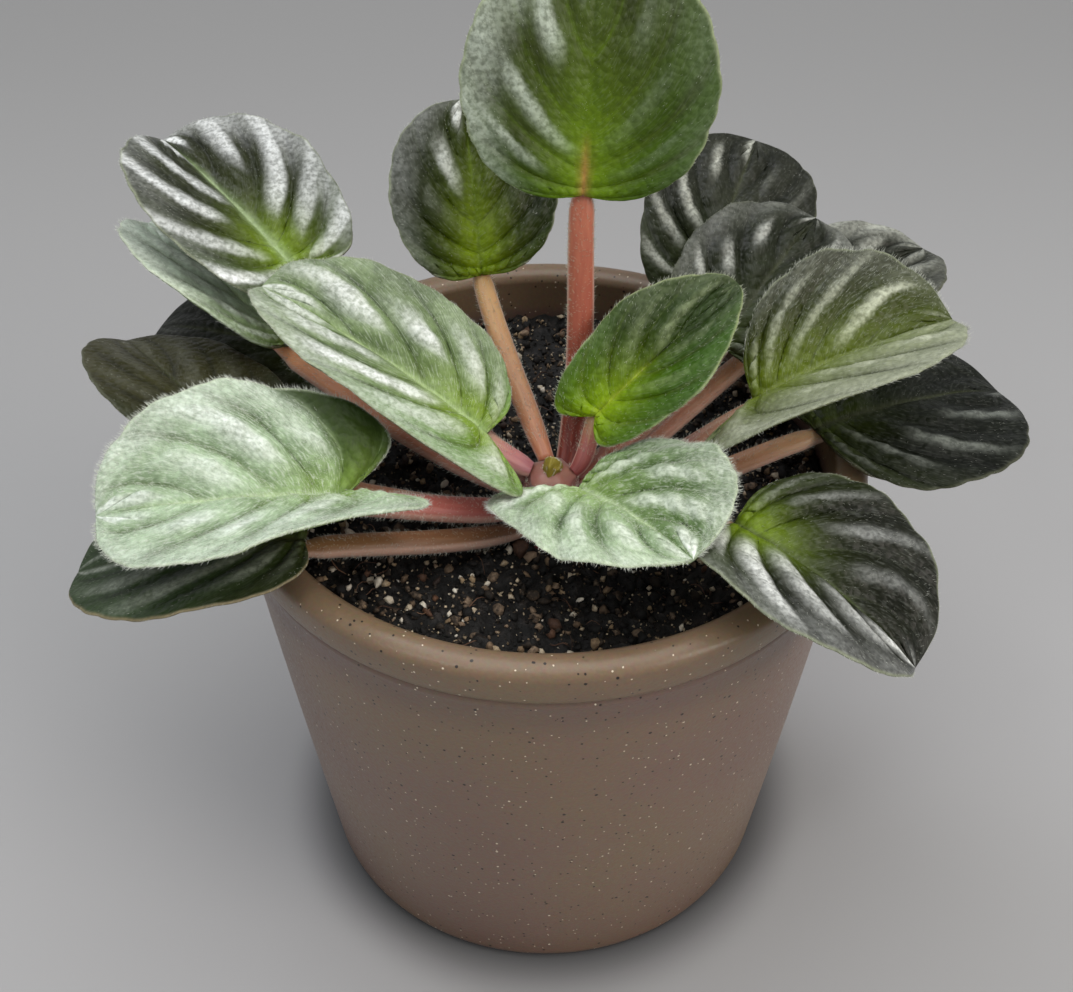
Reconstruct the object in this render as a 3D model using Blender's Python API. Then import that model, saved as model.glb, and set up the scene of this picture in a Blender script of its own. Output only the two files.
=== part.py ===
"""A potted African violet: a tapered pot with a rolled rim, potting soil, a short crown, and a
rosette of leaves, each one a stalk that carries a quilted, folded blade.

Metres, +Z up. The origin is on the pot's axis, at the flat face the pot stands on.
"""

import math
from typing import NamedTuple

import bpy
import numpy as np

GAP = 0.0003  # between two pieces that touch

# Pot
POT_HEIGHT = 0.112
POT_RIM_RADIUS = 0.065  # at the widest point of the rolled rim
POT_BASE_RADIUS = 0.0525
RIM_BAND = 0.0098  # height of the rolled rim
RIM_WIDTH = 0.0066  # from the rim's outside to the mouth
SHOULDER_RADIUS = 0.0632  # of the body, just under the rim
GROOVE = 0.0006  # depth of the line between rim and body
WALL = 0.0042
FLOOR = 0.005
BASE_FILLET = 0.004
POT_SIDES = 56
DRAIN_HOLES = 4
DRAIN_RADIUS = 0.0038
DRAIN_CIRCLE = 0.026

# Soil
SOIL_TOP = 0.1005
SOIL_RISE = 0.0012  # how far the soil is heaped up round the crown
SOIL_LUMPS = 0.0011
SOIL_SIDES = 44
SOIL_SEED = 5

# Crown, the short stem that every leaf grows from
CROWN_X = 0.001
CROWN_Y = -0.016
CROWN_RADIUS = 0.0078  # at the soil
CROWN_TIP_RADIUS = 0.0042
CROWN_FOOT = 0.088  # the lowest point, down in the soil
CROWN_TOP = 0.1165
FIRST_WHORL = 0.105  # height of the lowest ring of leaf stalks
WHORL_STEP = 0.0034  # from one ring to the next

# Leaves
STALK_DEPTH = 0.82  # as a share of its width
RIB_RADIUS = 0.0013  # of the stalk's end, where it runs on as the blade's midrib
RIB_SHARE = 0.72  # of the blade's length
BLADE_THICK = 0.0012
BLADE_EDGE_THICK = 0.0008
VEIN_GAPS = 6  # quilted strips between the side veins of each half
GAP_ROWS = 3  # rows of points along each strip
TOOTH = 0.03  # of the margin, as a share of the half width
QUILT = 0.0011  # height of a strip over the veins beside it
BLADE_COLUMNS = 4  # on each half


class Leaf(NamedTuple):
    name: str
    whorl: int  # ring on the crown, from the lowest
    azimuth: float  # where on the crown the stalk starts, in degrees from +X
    base: tuple  # where the stalk meets the blade
    tip: tuple
    width: float
    face: tuple  # the way the upper side looks
    fold: tuple  # how far the left and right halves rise from the midrib at the base, in degrees
    spread: tuple  # the same at the tip
    lobes: tuple = (0.18, 0.18)  # how far the left and right basal lobes reach back
    curl: float = -12  # how much further the margin rises than the midrib, in degrees
    widest: float = 0.45  # share of the blade's length at which it is widest
    arch: float = 0.002  # how far the midrib bows up between base and tip
    point: float = 0.0  # how far the tip is drawn out
    stalk: float = 0.0048  # width of the stalk


LEAVES = (
    Leaf("tall", 2, 65, (0.0065, 0.006, 0.164), (0.0085, 0.020, 0.205), 0.046, (0.0, -0.9, 0.45),
         (10, 10), (8, 8), lobes=(0.04, 0.04), curl=-10, arch=0.003, stalk=0.0053),
    Leaf("back_left", 3, 105, (-0.0132, 0.021, 0.137), (-0.017, 0.043, 0.164), 0.034,
         (0.1, -0.8, 0.55), (14, 14), (8, 8), lobes=(0.06, 0.03), stalk=0.0046),
    Leaf("young_right", 3, 5, (0.0096, -0.0105, 0.1255), (0.0362, 0.003, 0.1465), 0.025,
         (-0.2, -0.8, 0.6), (15, 38), (10, 38), lobes=(0.2, 0.15), point=1.0, stalk=0.0036),
    Leaf("folded_right", 1, 0, (0.0405, -0.0065, 0.126), (0.079, 0.004, 0.137), 0.044,
         (0.0, -0.15, 1.0), (28, 36), (18, 36), lobes=(0.0, 0.45), curl=-6, widest=0.6,
         stalk=0.0040),
    Leaf("back_right_upper", 1, 75, (0.034, 0.0365, 0.1245), (0.0478, 0.0705, 0.1395), 0.0375,
         (0.0, -0.5, 0.85), (12, 18), (5, 5), lobes=(0.18, 0.04), arch=0.003),
    Leaf("back_right_lower", 2, 30, (0.036, 0.0145, 0.124), (0.058, 0.043, 0.136), 0.037,
         (-0.1, -0.5, 0.85), (15, 15), (5, 5), lobes=(0.18, 0.08), arch=0.003),
    Leaf("far_right", 0, 40, (0.050, 0.025, 0.121), (0.0835, 0.0475, 0.1255), 0.036,
         (0.0, -0.2, 0.95), (10, 28), (5, 22), lobes=(0.18, 0.04)),
    Leaf("side_right", 0, 355, (0.054, -0.0045, 0.117), (0.0955, 0.0145, 0.111), 0.048,
         (0.0, -0.2, 0.95), (-3, 0), (-3, 20), lobes=(0.1, 0.0), curl=-9, arch=0.003),
    Leaf("front_right", 1, 325, (0.0343, -0.0355, 0.1197), (0.0655, -0.0566, 0.1038), 0.0455,
         (0.0, -0.1, 1.0), (10, 18), (12, 45), lobes=(0.05, 0.15), curl=-8, arch=0.0035),
    Leaf("young_front", 1, 280, (0.0060, -0.025, 0.119), (0.025, -0.050, 0.1245), 0.042,
         (0.0, -0.3, 0.95), (8, 20), (6, 32), lobes=(0.1, 0.52), curl=-8, widest=0.52,
         stalk=0.0038),
    Leaf("front_left", 1, 205, (-0.038, -0.028, 0.120), (-0.082, -0.036, 0.122), 0.045,
         (0.0, -0.2, 1.0), (62, 32), (5, 28), lobes=(0.40, 0.28), curl=-8, widest=0.42,
         stalk=0.0056),
    Leaf("mid_left", 3, 165, (-0.012, -0.013, 0.123), (-0.057, 0.014, 0.138), 0.036,
         (0.1, -0.2, 1.0), (22, 22), (40, 20), lobes=(0.32, 0.05), curl=-6),
    Leaf("upper_left", 2, 140, (-0.053, 0.027, 0.135), (-0.0845, 0.0625, 0.144), 0.0425,
         (0.0, -0.35, 0.95), (20, 12), (52, 8), curl=-8, stalk=0.0052),
    Leaf("under_left", 1, 160, (-0.0545, 0.018, 0.1215), (-0.0885, 0.0525, 0.129), 0.038,
         (0.0, -0.2, 1.0), (50, 15), (45, 5), lobes=(0.1, 0.18), stalk=0.0058),
    Leaf("low_left", 0, 185, (-0.0565, -0.019, 0.1225), (-0.0885, 0.0205, 0.120), 0.036,
         (0.0, -0.3, 0.95), (35, -5), (48, -18), lobes=(0.1, 0.1)),
    Leaf("low_back_left", 0, 130, (-0.046, 0.0195, 0.1145), (-0.086, 0.039, 0.1105), 0.034,
         (0.0, -0.3, 0.95), (6, 3), (4, 0), lobes=(0.1, 0.1), curl=-2, arch=0.0035),
    Leaf("low_front_left", 0, 222, (-0.045, -0.0363, 0.1165), (-0.0887, -0.0345, 0.106), 0.040,
         (0.0, -0.1, 1.0), (19, -4), (20, 0), lobes=(0.1, 0.05), stalk=0.0052),
)


def unit(vector):
    return vector / np.linalg.norm(vector)


def circle(radius, height, sides, centre=(0.0, 0.0)):
    turn = np.arange(sides) * 2 * math.pi / sides
    x = centre[0] + radius * np.cos(turn)
    y = centre[1] + radius * np.sin(turn)
    return np.stack([x, y, np.broadcast_to(height, turn.shape)], axis=1)


def band(lower, upper, flip=False):
    """The triangles between two rings, given as lists of point numbers. flip turns the diagonals."""
    count = len(lower)
    faces = []
    for i in range(count):
        j = (i + 1) % count
        if flip is True or (flip is not False and flip[i]):
            faces += [(lower[i], lower[j], upper[i]), (lower[j], upper[j], upper[i])]
        else:
            faces += [(lower[i], lower[j], upper[j]), (lower[i], upper[j], upper[i])]
    return faces


def ring_solid(name, rings, start, end, material, flip=False):
    """A closed solid through a stack of rings, closed by a point at each end. Seen from outside,
    each ring runs to the right when the next ring is above it."""
    count = len(rings[0])
    points = [tuple(start)] + [tuple(p) for ring in rings for p in ring] + [tuple(end)]
    numbers = [[1 + k * count + i for i in range(count)] for k in range(len(rings))]
    faces = [(0, numbers[0][(i + 1) % count], numbers[0][i]) for i in range(count)]
    for lower, upper in zip(numbers, numbers[1:]):
        faces += band(lower, upper, flip)
    last = len(points) - 1
    faces += [(last, numbers[-1][i], numbers[-1][(i + 1) % count]) for i in range(count)]
    mesh = bpy.data.meshes.new(name)
    mesh.from_pydata(points, [], faces)
    mesh.materials.append(material)
    mesh.shade_smooth()
    mesh.set_sharp_from_angle(angle=math.radians(50))
    made = bpy.data.objects.new(name, mesh)
    bpy.context.scene.collection.objects.link(made)
    return made


def material(name, colour, roughness, metallic=0.0):
    made = bpy.data.materials.new(name)
    made.use_nodes = True
    shader = made.node_tree.nodes["Principled BSDF"]
    shader.inputs["Base Color"].default_value = (*colour, 1.0)
    shader.inputs["Roughness"].default_value = roughness
    shader.inputs["Metallic"].default_value = metallic
    return made


def pot_profile():
    """(radius, height) from the middle of the underside, up the outside and down the inside."""
    band_foot = POT_HEIGHT - RIM_BAND
    mouth = POT_RIM_RADIUS - RIM_WIDTH
    roll = RIM_WIDTH / 2
    points = []
    for turn in (0, 30, 60, 90):
        a = math.radians(turn)
        points.append((POT_BASE_RADIUS - BASE_FILLET * (1 - math.sin(a)),
                       BASE_FILLET * (1 - math.cos(a))))
    points.append((SHOULDER_RADIUS - 0.0004, band_foot - 0.0026))
    points.append((SHOULDER_RADIUS, band_foot - 0.0012))
    points.append((SHOULDER_RADIUS - GROOVE, band_foot))
    points.append((SHOULDER_RADIUS + 0.0008, band_foot + 0.0014))
    points.append((POT_RIM_RADIUS - 0.0002, band_foot + 0.0042))
    for turn in (0, 35, 65, 90, 115, 145, 180):
        a = math.radians(turn)
        points.append((POT_RIM_RADIUS - roll + roll * math.cos(a),
                       POT_HEIGHT - roll * 0.8 * (1 - math.sin(a))))
    inner_foot = POT_BASE_RADIUS - WALL
    points.append((mouth - 0.0002, band_foot - 0.001))
    points.append((inner_foot - 0.001, FLOOR + 0.003))
    points.append((inner_foot - 0.004, FLOOR))
    return points


def inner_radius(height):
    """Of the pot's inside, at a height between its floor and its rim."""
    low, high = (POT_BASE_RADIUS - WALL - 0.001, FLOOR + 0.003), (
        POT_RIM_RADIUS - RIM_WIDTH - 0.0002, POT_HEIGHT - RIM_BAND - 0.001)
    share = (height - low[1]) / (high[1] - low[1])
    return low[0] + (high[0] - low[0]) * share


def make_pot():
    clay = material("speckled_stoneware", (0.235, 0.182, 0.146), 0.42)
    rings = [circle(r, z, POT_SIDES) for r, z in pot_profile()]
    pot = ring_solid("pot", rings, (0, 0, 0), (0, 0, FLOOR), clay)
    for i in range(DRAIN_HOLES):
        turn = math.radians(45 + 360 * i / DRAIN_HOLES)
        centre = (DRAIN_CIRCLE * math.cos(turn), DRAIN_CIRCLE * math.sin(turn))
        rings = [circle(DRAIN_RADIUS, z, 12, centre) for z in (-FLOOR, 2 * FLOOR)]
        cutter = ring_solid(f"drain_cutter_{i}", rings, (*centre, -FLOOR), (*centre, 2 * FLOOR), clay)
        cutter.hide_render = True
        cutter.display_type = "WIRE"
        cut = pot.modifiers.new(f"drain_hole_{i}", "BOOLEAN")
        cut.operation = "DIFFERENCE"
        cut.object = cutter


def lumps(x, y):
    """The height of the soil's crumbs and grit over its even surface."""
    chance = np.random.default_rng(SOIL_SEED)
    height = np.zeros_like(x)
    for _ in range(70):
        across, along = chance.uniform(-0.058, 0.058, 2)
        size = chance.uniform(0.002, 0.0045)
        rise = chance.uniform(-0.5, 1.0) * SOIL_LUMPS
        height += rise * np.exp(-((x - across) ** 2 + (y - along) ** 2) / size**2)
    return height


def make_soil():
    earth = material("potting_soil", (0.016, 0.012, 0.009), 0.95)
    centre = np.array([CROWN_X, CROWN_Y, 0.0])
    hole = CROWN_RADIUS + GAP
    floor = FLOOR + GAP
    wall = inner_radius(SOIL_TOP) - 2 * GAP
    rings = [circle(inner_radius(floor + 0.003) - 0.005, floor, SOIL_SIDES),
             circle(inner_radius(floor + 0.004) - 2 * GAP, floor + 0.004, SOIL_SIDES),
             circle(wall, SOIL_TOP - 0.001, SOIL_SIDES)]
    edge = circle(wall - 0.0005, SOIL_TOP, SOIL_SIDES)
    inner = circle(hole, SOIL_TOP, SOIL_SIDES, centre[:2])
    for share in np.linspace(0, 1, 15) ** 0.9:
        ring = edge + (inner - edge) * share
        heap = SOIL_RISE * share**2
        fade = 1.0 if share < 1 else 0.0
        ring[:, 2] += heap + fade * lumps(ring[:, 0], ring[:, 1])
        rings.append(ring)
    rings.append(circle(hole, CROWN_FOOT - GAP, SOIL_SIDES, centre[:2]))
    ring_solid("soil", rings, (0, 0, floor), (CROWN_X, CROWN_Y, CROWN_FOOT - GAP), earth)


def crown_radius(height):
    share = np.clip((height - SOIL_TOP) / (CROWN_TOP - SOIL_TOP), 0, 1)
    return CROWN_RADIUS + (CROWN_TIP_RADIUS - CROWN_RADIUS) * share


def make_crown():
    flesh = material("crown_flesh", (0.30, 0.085, 0.065), 0.5)
    profile = [(CROWN_RADIUS * 0.7, CROWN_FOOT), (CROWN_RADIUS * 0.92, CROWN_FOOT + 0.004)]
    for z in np.linspace(SOIL_TOP, CROWN_TOP - 0.001, 5):
        profile.append((crown_radius(z), z))
    profile.append((CROWN_TIP_RADIUS * 0.6, CROWN_TOP))
    rings = [circle(r, z, 18, (CROWN_X, CROWN_Y)) for r, z in profile]
    ring_solid("crown", rings, (CROWN_X, CROWN_Y, CROWN_FOOT), (CROWN_X, CROWN_Y, CROWN_TOP), flesh)


def blade_axes(leaf):
    base, tip = np.array(leaf.base), np.array(leaf.tip)
    along = unit(tip - base)
    face = np.array(leaf.face, float)
    up = unit(face - along * (face @ along))
    return base, along, np.cross(up, along), up, np.linalg.norm(tip - base)


def outline(leaf, share, side):
    """(along, across) of the blade's margin from the notch at the stalk, share 0, round one half
    to the tip, share 1, with a blunt tooth for each quilted strip. The length and the half width
    are both 1."""
    turn = math.pi * (1 - share)
    reach = np.where(np.cos(turn) > 0, 1 - leaf.widest, leaf.widest)
    lobe = np.where(side > 0, leaf.lobes[0], leaf.lobes[1])
    round_lobe = np.clip(share / 0.45, 0, 1)
    back = lobe * 1.4 * np.sin(math.pi * round_lobe) * (1 - round_lobe) ** 0.6
    tooth = 1 + TOOTH * (np.abs(np.sin(math.pi * VEIN_GAPS * share)) - 0.6)
    along = leaf.widest + reach * np.cos(turn) * tooth - back
    narrow = 1 - leaf.point * np.clip(share - 0.55, 0, 1)
    return along, np.sin(turn) ** 0.85 * tooth * narrow


def arched(leaf, share):
    return 4 * leaf.arch * share * (1 - share)


def blade_points(leaf, share, side):
    """Points of the blade's middle surface. share runs from the notch to the tip, and side from -1
    at the right margin over 0 at the midrib to 1 at the left margin, along a side vein."""
    base, along, left, up, length = blade_axes(leaf)
    half = leaf.width / 2
    margin_along, margin_across = outline(leaf, share, side)
    out = np.abs(side)
    rib = 0.1 * share + 0.9 * share**2.8
    x = rib + (margin_along - rib) * out**1.2
    q = margin_across * out
    fold = np.where(side > 0, leaf.fold[0], leaf.fold[1])
    spread = np.where(side > 0, leaf.spread[0], leaf.spread[1])
    fold = np.radians(fold + (spread - fold) * share)
    bend = math.radians(leaf.curl)
    across = half * (np.sin(fold + bend * q) - np.sin(fold)) / bend
    lift = half * (np.cos(fold) - np.cos(fold + bend * q)) / bend
    strip = np.abs(np.sin(math.pi * VEIN_GAPS * share)) ** 0.8 - 0.5
    lift = lift + QUILT * strip * np.sin(math.pi * np.clip(out, 0, 0.86) ** 0.8)
    lift = lift + arched(leaf, x)
    return (base + np.multiply.outer(x * length, along)
            + np.multiply.outer(np.sign(side) * across, left) + np.multiply.outer(lift, up))


def blade_normals(leaf, share, side):
    step = 1e-3
    s = np.clip(share, 0.02, 0.98)
    v = np.where(np.abs(side) < 0.02, 0.0, side)
    by_share = blade_points(leaf, s + step, v) - blade_points(leaf, s - step, v)
    by_side = blade_points(leaf, s, v + 0.02) - blade_points(leaf, s, v - 0.02)
    normal = np.cross(by_share, by_side)
    normal /= np.linalg.norm(normal, axis=-1, keepdims=True)
    return normal


def make_blade(leaf, green):
    rows = np.arange(2, GAP_ROWS * VEIN_GAPS) / (GAP_ROWS * VEIN_GAPS)
    sides = np.linspace(-1, 1, 2 * BLADE_COLUMNS + 1)
    share, side = np.meshgrid(rows, sides, indexing="ij")
    middle = blade_points(leaf, share, side)
    normal = blade_normals(leaf, share, side)
    thick = BLADE_EDGE_THICK + (BLADE_THICK - BLADE_EDGE_THICK) * (1 - side**2)
    over = middle + normal * thick[..., None] / 2
    under = middle - normal * thick[..., None] / 2
    rings = np.concatenate([over[:, ::-1], under], axis=1)
    columns = len(sides)
    flip = [i < columns for i in range(2 * columns)]
    poles = blade_points(leaf, np.array([0.0, 1.0]), np.array([0.0, 0.0]))
    return ring_solid(f"blade_{leaf.name}", rings, poles[0], poles[1], green, flip)


def stalk_path(leaf):
    """The stalk's centre line, from the crown to the blade and on below it as the midrib, with the
    half width and half depth at each point."""
    base, along, _, up, length = blade_axes(leaf)
    turn = math.radians(leaf.azimuth)
    out = np.array([math.cos(turn), math.sin(turn), 0.0])
    height = FIRST_WHORL + WHORL_STEP * leaf.whorl
    clear = crown_radius(height - leaf.stalk / 2) + GAP
    start = np.array([CROWN_X, CROWN_Y, height]) + out * clear
    under = BLADE_THICK / 2 + GAP
    end = base - up * (under + RIB_RADIUS * 1.3)
    reach = np.linalg.norm(end - start)
    chord = unit(end - start)
    leave = unit(out * 0.8 + chord)
    arrive = unit(along * 0.7 + chord)
    first, second = start + leave * reach * 0.35, end - arrive * reach * 0.3
    t = np.linspace(0, 1, 8)[:, None]
    curve = ((1 - t) ** 3 * start + 3 * (1 - t) ** 2 * t * first
             + 3 * (1 - t) * t**2 * second + t**3 * end)
    swell = np.array([0.7, 0.85, 1.0, 1.0, 0.98, 0.94, 0.88, 0.8])
    wide = leaf.stalk / 2 * swell
    deep = wide * STALK_DEPTH
    rib = np.linspace(0, RIB_SHARE, 5)[1:]
    size = RIB_RADIUS * (1.3 - rib)
    line = (base + np.multiply.outer(rib * length, along)
            + np.multiply.outer(arched(leaf, rib) - under - size, up))
    wide[-1] = deep[-1] = RIB_RADIUS * 1.3
    wide[-2] = wide[-2] * 0.95
    return (np.concatenate([curve, line]), np.concatenate([wide, size]),
            np.concatenate([deep, size]), up)


def make_stalk(leaf, flesh):
    path, wide, deep, up = stalk_path(leaf)
    tangents = np.gradient(path, axis=0)
    turn = np.arange(7) * 2 * math.pi / 7
    rings = []
    for point, tangent, w, d in zip(path, tangents, wide, deep):
        side = unit(np.cross(tangent, up))
        top = unit(np.cross(side, tangent))
        rings.append(point + np.multiply.outer(w * np.cos(turn), side)
                     + np.multiply.outer(d * np.sin(turn), top))
    rings = [ring[::-1] for ring in rings]
    return ring_solid(f"stalk_{leaf.name}", rings, path[0], path[-1], flesh)


def clear_scene():
    for old in list(bpy.data.objects):
        bpy.data.objects.remove(old)


def main():
    clear_scene()
    make_pot()
    make_soil()
    make_crown()
    green = material("leaf_green", (0.055, 0.11, 0.03), 0.5)
    flesh = material("stalk_flesh", (0.42, 0.15, 0.10), 0.45)
    for leaf in LEAVES:
        make_blade(leaf, green)
        make_stalk(leaf, flesh)


main()
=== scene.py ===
import math

import bpy
import numpy as np
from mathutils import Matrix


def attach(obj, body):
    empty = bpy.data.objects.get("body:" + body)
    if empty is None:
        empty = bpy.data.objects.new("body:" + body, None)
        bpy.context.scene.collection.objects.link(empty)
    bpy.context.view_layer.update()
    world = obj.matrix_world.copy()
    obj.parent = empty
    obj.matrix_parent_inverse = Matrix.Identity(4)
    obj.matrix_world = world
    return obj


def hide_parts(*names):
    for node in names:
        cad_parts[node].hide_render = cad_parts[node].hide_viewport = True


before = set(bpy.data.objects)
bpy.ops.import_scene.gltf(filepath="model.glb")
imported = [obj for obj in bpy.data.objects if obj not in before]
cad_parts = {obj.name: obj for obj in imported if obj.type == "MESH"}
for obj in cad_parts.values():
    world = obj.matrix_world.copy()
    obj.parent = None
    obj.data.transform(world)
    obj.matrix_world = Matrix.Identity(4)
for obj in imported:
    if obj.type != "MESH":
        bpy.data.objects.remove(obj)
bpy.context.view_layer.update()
print("frame:", len(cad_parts), "solids")


def hexColour(code):
    # sRGB hex to linear light: c / 12.92 in the darks, else ((c + 0.055) / 1.055) to the power 2.4
    c = np.array([int(code[i:i + 2], 16) for i in (1, 3, 5)]) / 255
    linear = np.where(c <= 0.04045, c / 12.92, ((c + 0.055) / 1.055) ** 2.4)
    return (*linear.tolist(), 1.0)


def addNode(tree, kind, settings=None, inputs=None):
    # adds a shader node, sets its properties and a ramp's stops, then fills its inputs
    node = tree.nodes.new("ShaderNode" + kind)
    for name, value in (settings or {}).items():
        if name == "stops":
            ramp = node.color_ramp
            while len(ramp.elements) > 1:
                ramp.elements.remove(ramp.elements[-1])
            for i, (place, colour) in enumerate(value):
                stop = ramp.elements.new(place) if i else ramp.elements[0]
                stop.position, stop.color = place, hexColour(colour)
        else:
            setattr(node, name, value)
    fill(tree, node, inputs or {})
    return node


def fill(tree, node, inputs):
    # gives each named input its value, where text is a colour in hex, or its link, where a node
    # stands for the first of its outputs that is on
    for name, value in inputs.items():
        if isinstance(value, bpy.types.Node):
            value = next(output for output in value.outputs if output.enabled)
        if isinstance(value, bpy.types.NodeSocket):
            tree.links.new(value, node.inputs[name])
        else:
            value = hexColour(value) if isinstance(value, str) else value
            node.inputs[name].default_value = value


# settings that many nodes share
ofColours = {"data_type": "RGBA"}
times = {"operation": "MULTIPLY"}
eased = {"interpolation_type": "SMOOTHSTEP"}
darkened = {**ofColours, "blend_type": "MULTIPLY"}


def newMaterial(name):
    made = bpy.data.materials.new(name)
    made.use_nodes = True
    tree = made.node_tree
    shader = tree.nodes["Principled BSDF"]
    return made, tree, shader


def unit(v):  # each vector over its own length
    return v / np.linalg.norm(v, axis=-1, keepdims=True)


def smoothStep(low, high, x):  # 3t^2 - 2t^3, where t goes from 0 at low to 1 at high
    t = np.clip((x - low) / (high - low), 0, 1)
    return t * t * (3 - 2 * t)


def wholeTurn(count):  # the angles of equal steps round a circle
    return np.arange(count) * 2 * math.pi / count


def runAlong(path):  # the distance from a path's start to each of its points
    return np.concatenate([[0], np.cumsum(np.linalg.norm(np.diff(path, axis=0), axis=1))])


def ringRound(tangent, side, sides):
    # rings of points square to a path: side * cos(a) + top * sin(a), where top is square to both
    top = np.cross(side, tangent)
    turn = wholeTurn(sides)
    return side[..., None, :] * np.cos(turn)[:, None] + top[..., None, :] * np.sin(turn)[:, None]


def repeated(faces, count, size):  # the faces of one body, for each of count bodies of size points
    return (faces + np.arange(count)[:, None, None] * size).reshape(-1, faces.shape[1])


def withEnds(marks):  # grids of marks as lists, each with its first and last value for the two ends
    return {key: np.concatenate([value.ravel(), [value[0, 0], value[-1, 0]]])
            for key, value in marks.items()}


def ringFaces(rows, columns):
    # four-sided faces between neighbouring rows of points, each row closed on itself
    i, j = np.meshgrid(np.arange(rows - 1), np.arange(columns), indexing="ij")
    k = (j + 1) % columns
    a, b = i * columns, (i + 1) * columns
    return np.stack([a + j, a + k, b + k, b + j], -1).reshape(-1, 4)


def endFaces(rows, columns):
    # triangles from the first and the last row to the two points that follow the rows
    j = np.arange(columns)
    k, last, start = (j + 1) % columns, (rows - 1) * columns, np.full(columns, rows * columns)
    return np.concatenate([np.stack([start, k, j], 1),
                           np.stack([start + 1, last + j, last + k], 1)])


def closedBody(rings, start, end):
    # a stack of rings closed by one point at each end: points, then its quads and its triangles
    points = np.concatenate([rings.reshape(-1, 3), [start], [end]])
    return points, [ringFaces(*rings.shape[:2]), endFaces(*rings.shape[:2])]


def joined(parts):
    # several (points, faces) made one
    points, faces, count = [], [], 0
    for some, groups in parts:
        points.append(some)
        faces += [group + count for group in groups]
        count += len(some)
    return np.concatenate(points), faces


def makePiece(name, points, faces, material, slot=None, nodes=(), marks=None):
    # one mesh object at the origin; marks are numbers kept per point for the material.
    # Faces are turned round if the enclosed volume, the sum of p0 . (p1 x p2) / 6, is negative
    volume = 0.0
    for group in faces:
        for a, b in ((1, 2), (2, 3))[:group.shape[1] - 2]:
            p = points[group[:, [0, a, b]]]
            volume += np.einsum("ij,ij->", p[:, 0], np.cross(p[:, 1], p[:, 2])) / 6
    if volume < 0:
        faces = [group[:, ::-1] for group in faces]
    mesh = bpy.data.meshes.new(name)
    corners = np.concatenate([group.ravel() for group in faces]).astype(np.int32)
    sizes = np.concatenate([np.full(len(group), group.shape[1]) for group in faces])
    starts = np.concatenate([[0], np.cumsum(sizes)[:-1]]).astype(np.int32)
    mesh.vertices.add(len(points))
    mesh.loops.add(len(corners))
    mesh.polygons.add(len(sizes))
    mesh.vertices.foreach_set("co", np.ascontiguousarray(points, np.float32).ravel())
    mesh.loops.foreach_set("vertex_index", corners)
    mesh.polygons.foreach_set("loop_start", starts)
    mesh.update(calc_edges=True)
    mesh.validate()
    mesh.shade_smooth()
    for mark, values in (marks or {}).items():
        layer = mesh.attributes.new(mark, "FLOAT", "POINT")
        layer.data.foreach_set("value", np.ascontiguousarray(values, np.float32))
    mesh.materials.append(material)
    made = bpy.data.objects.new(name, mesh)
    bpy.context.scene.collection.objects.link(made)
    if slot:
        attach(made, "root")
    if nodes:
        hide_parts(*nodes)
    return made


viewpoint = {"place": (-0.00204, -0.2346, 0.3052), "tilt": 48.134, "lens": 50.0, "sensor": 36.0}

camera = bpy.data.objects.new("camera", bpy.data.cameras.new("camera"))
camera.data.lens = viewpoint["lens"]
camera.data.sensor_width = viewpoint["sensor"]
camera.data.clip_start = 0.01
camera.location = viewpoint["place"]
camera.rotation_euler = (math.radians(viewpoint["tilt"]), 0, 0)
bpy.context.scene.collection.objects.link(camera)
bpy.context.scene.camera = camera


pot = {
    "height": 0.112, "rimRadius": 0.065, "baseRadius": 0.0525,
    "rimBand": 0.0098,  # height of the rolled rim
    "rimWidth": 0.0066,  # rim's outside to the mouth
    "shoulder": 0.0632, "belly": 0.0003, "wall": 0.0042, "floor": 0.005, "fillet": 0.004,
    "wander": 0.0008,  # how far the fired pot is from round, as a share of its radius
    "sides": 160, "drainHoles": 4, "drainRadius": 0.0038, "drainCircle": 0.026,
    "body": "#7c6556", "warm": "#7e6b50", "shade": "#775e52", "dark": "#221a15", "light": "#dccfb8",
    # the tone just under the roll is a painted shade
    "rim": "#7b684b", "underRollShade": "#68534e", "foot": "#674d38",
    "speck": 0.0019,  # the cell that may hold one speck of grit
    # each kind of speck: how close its cells are, seed, the share of cells without, size in cells
    "specks": ((1.0, 0, 0.36, 0.145, "dark"), (1.25, 3, 0.6, 0.135, "light"),
               (0.6, 7, 0.7, 0.12, "dark"), (0.7, 5, 0.84, 0.11, "light")),
}


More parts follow.
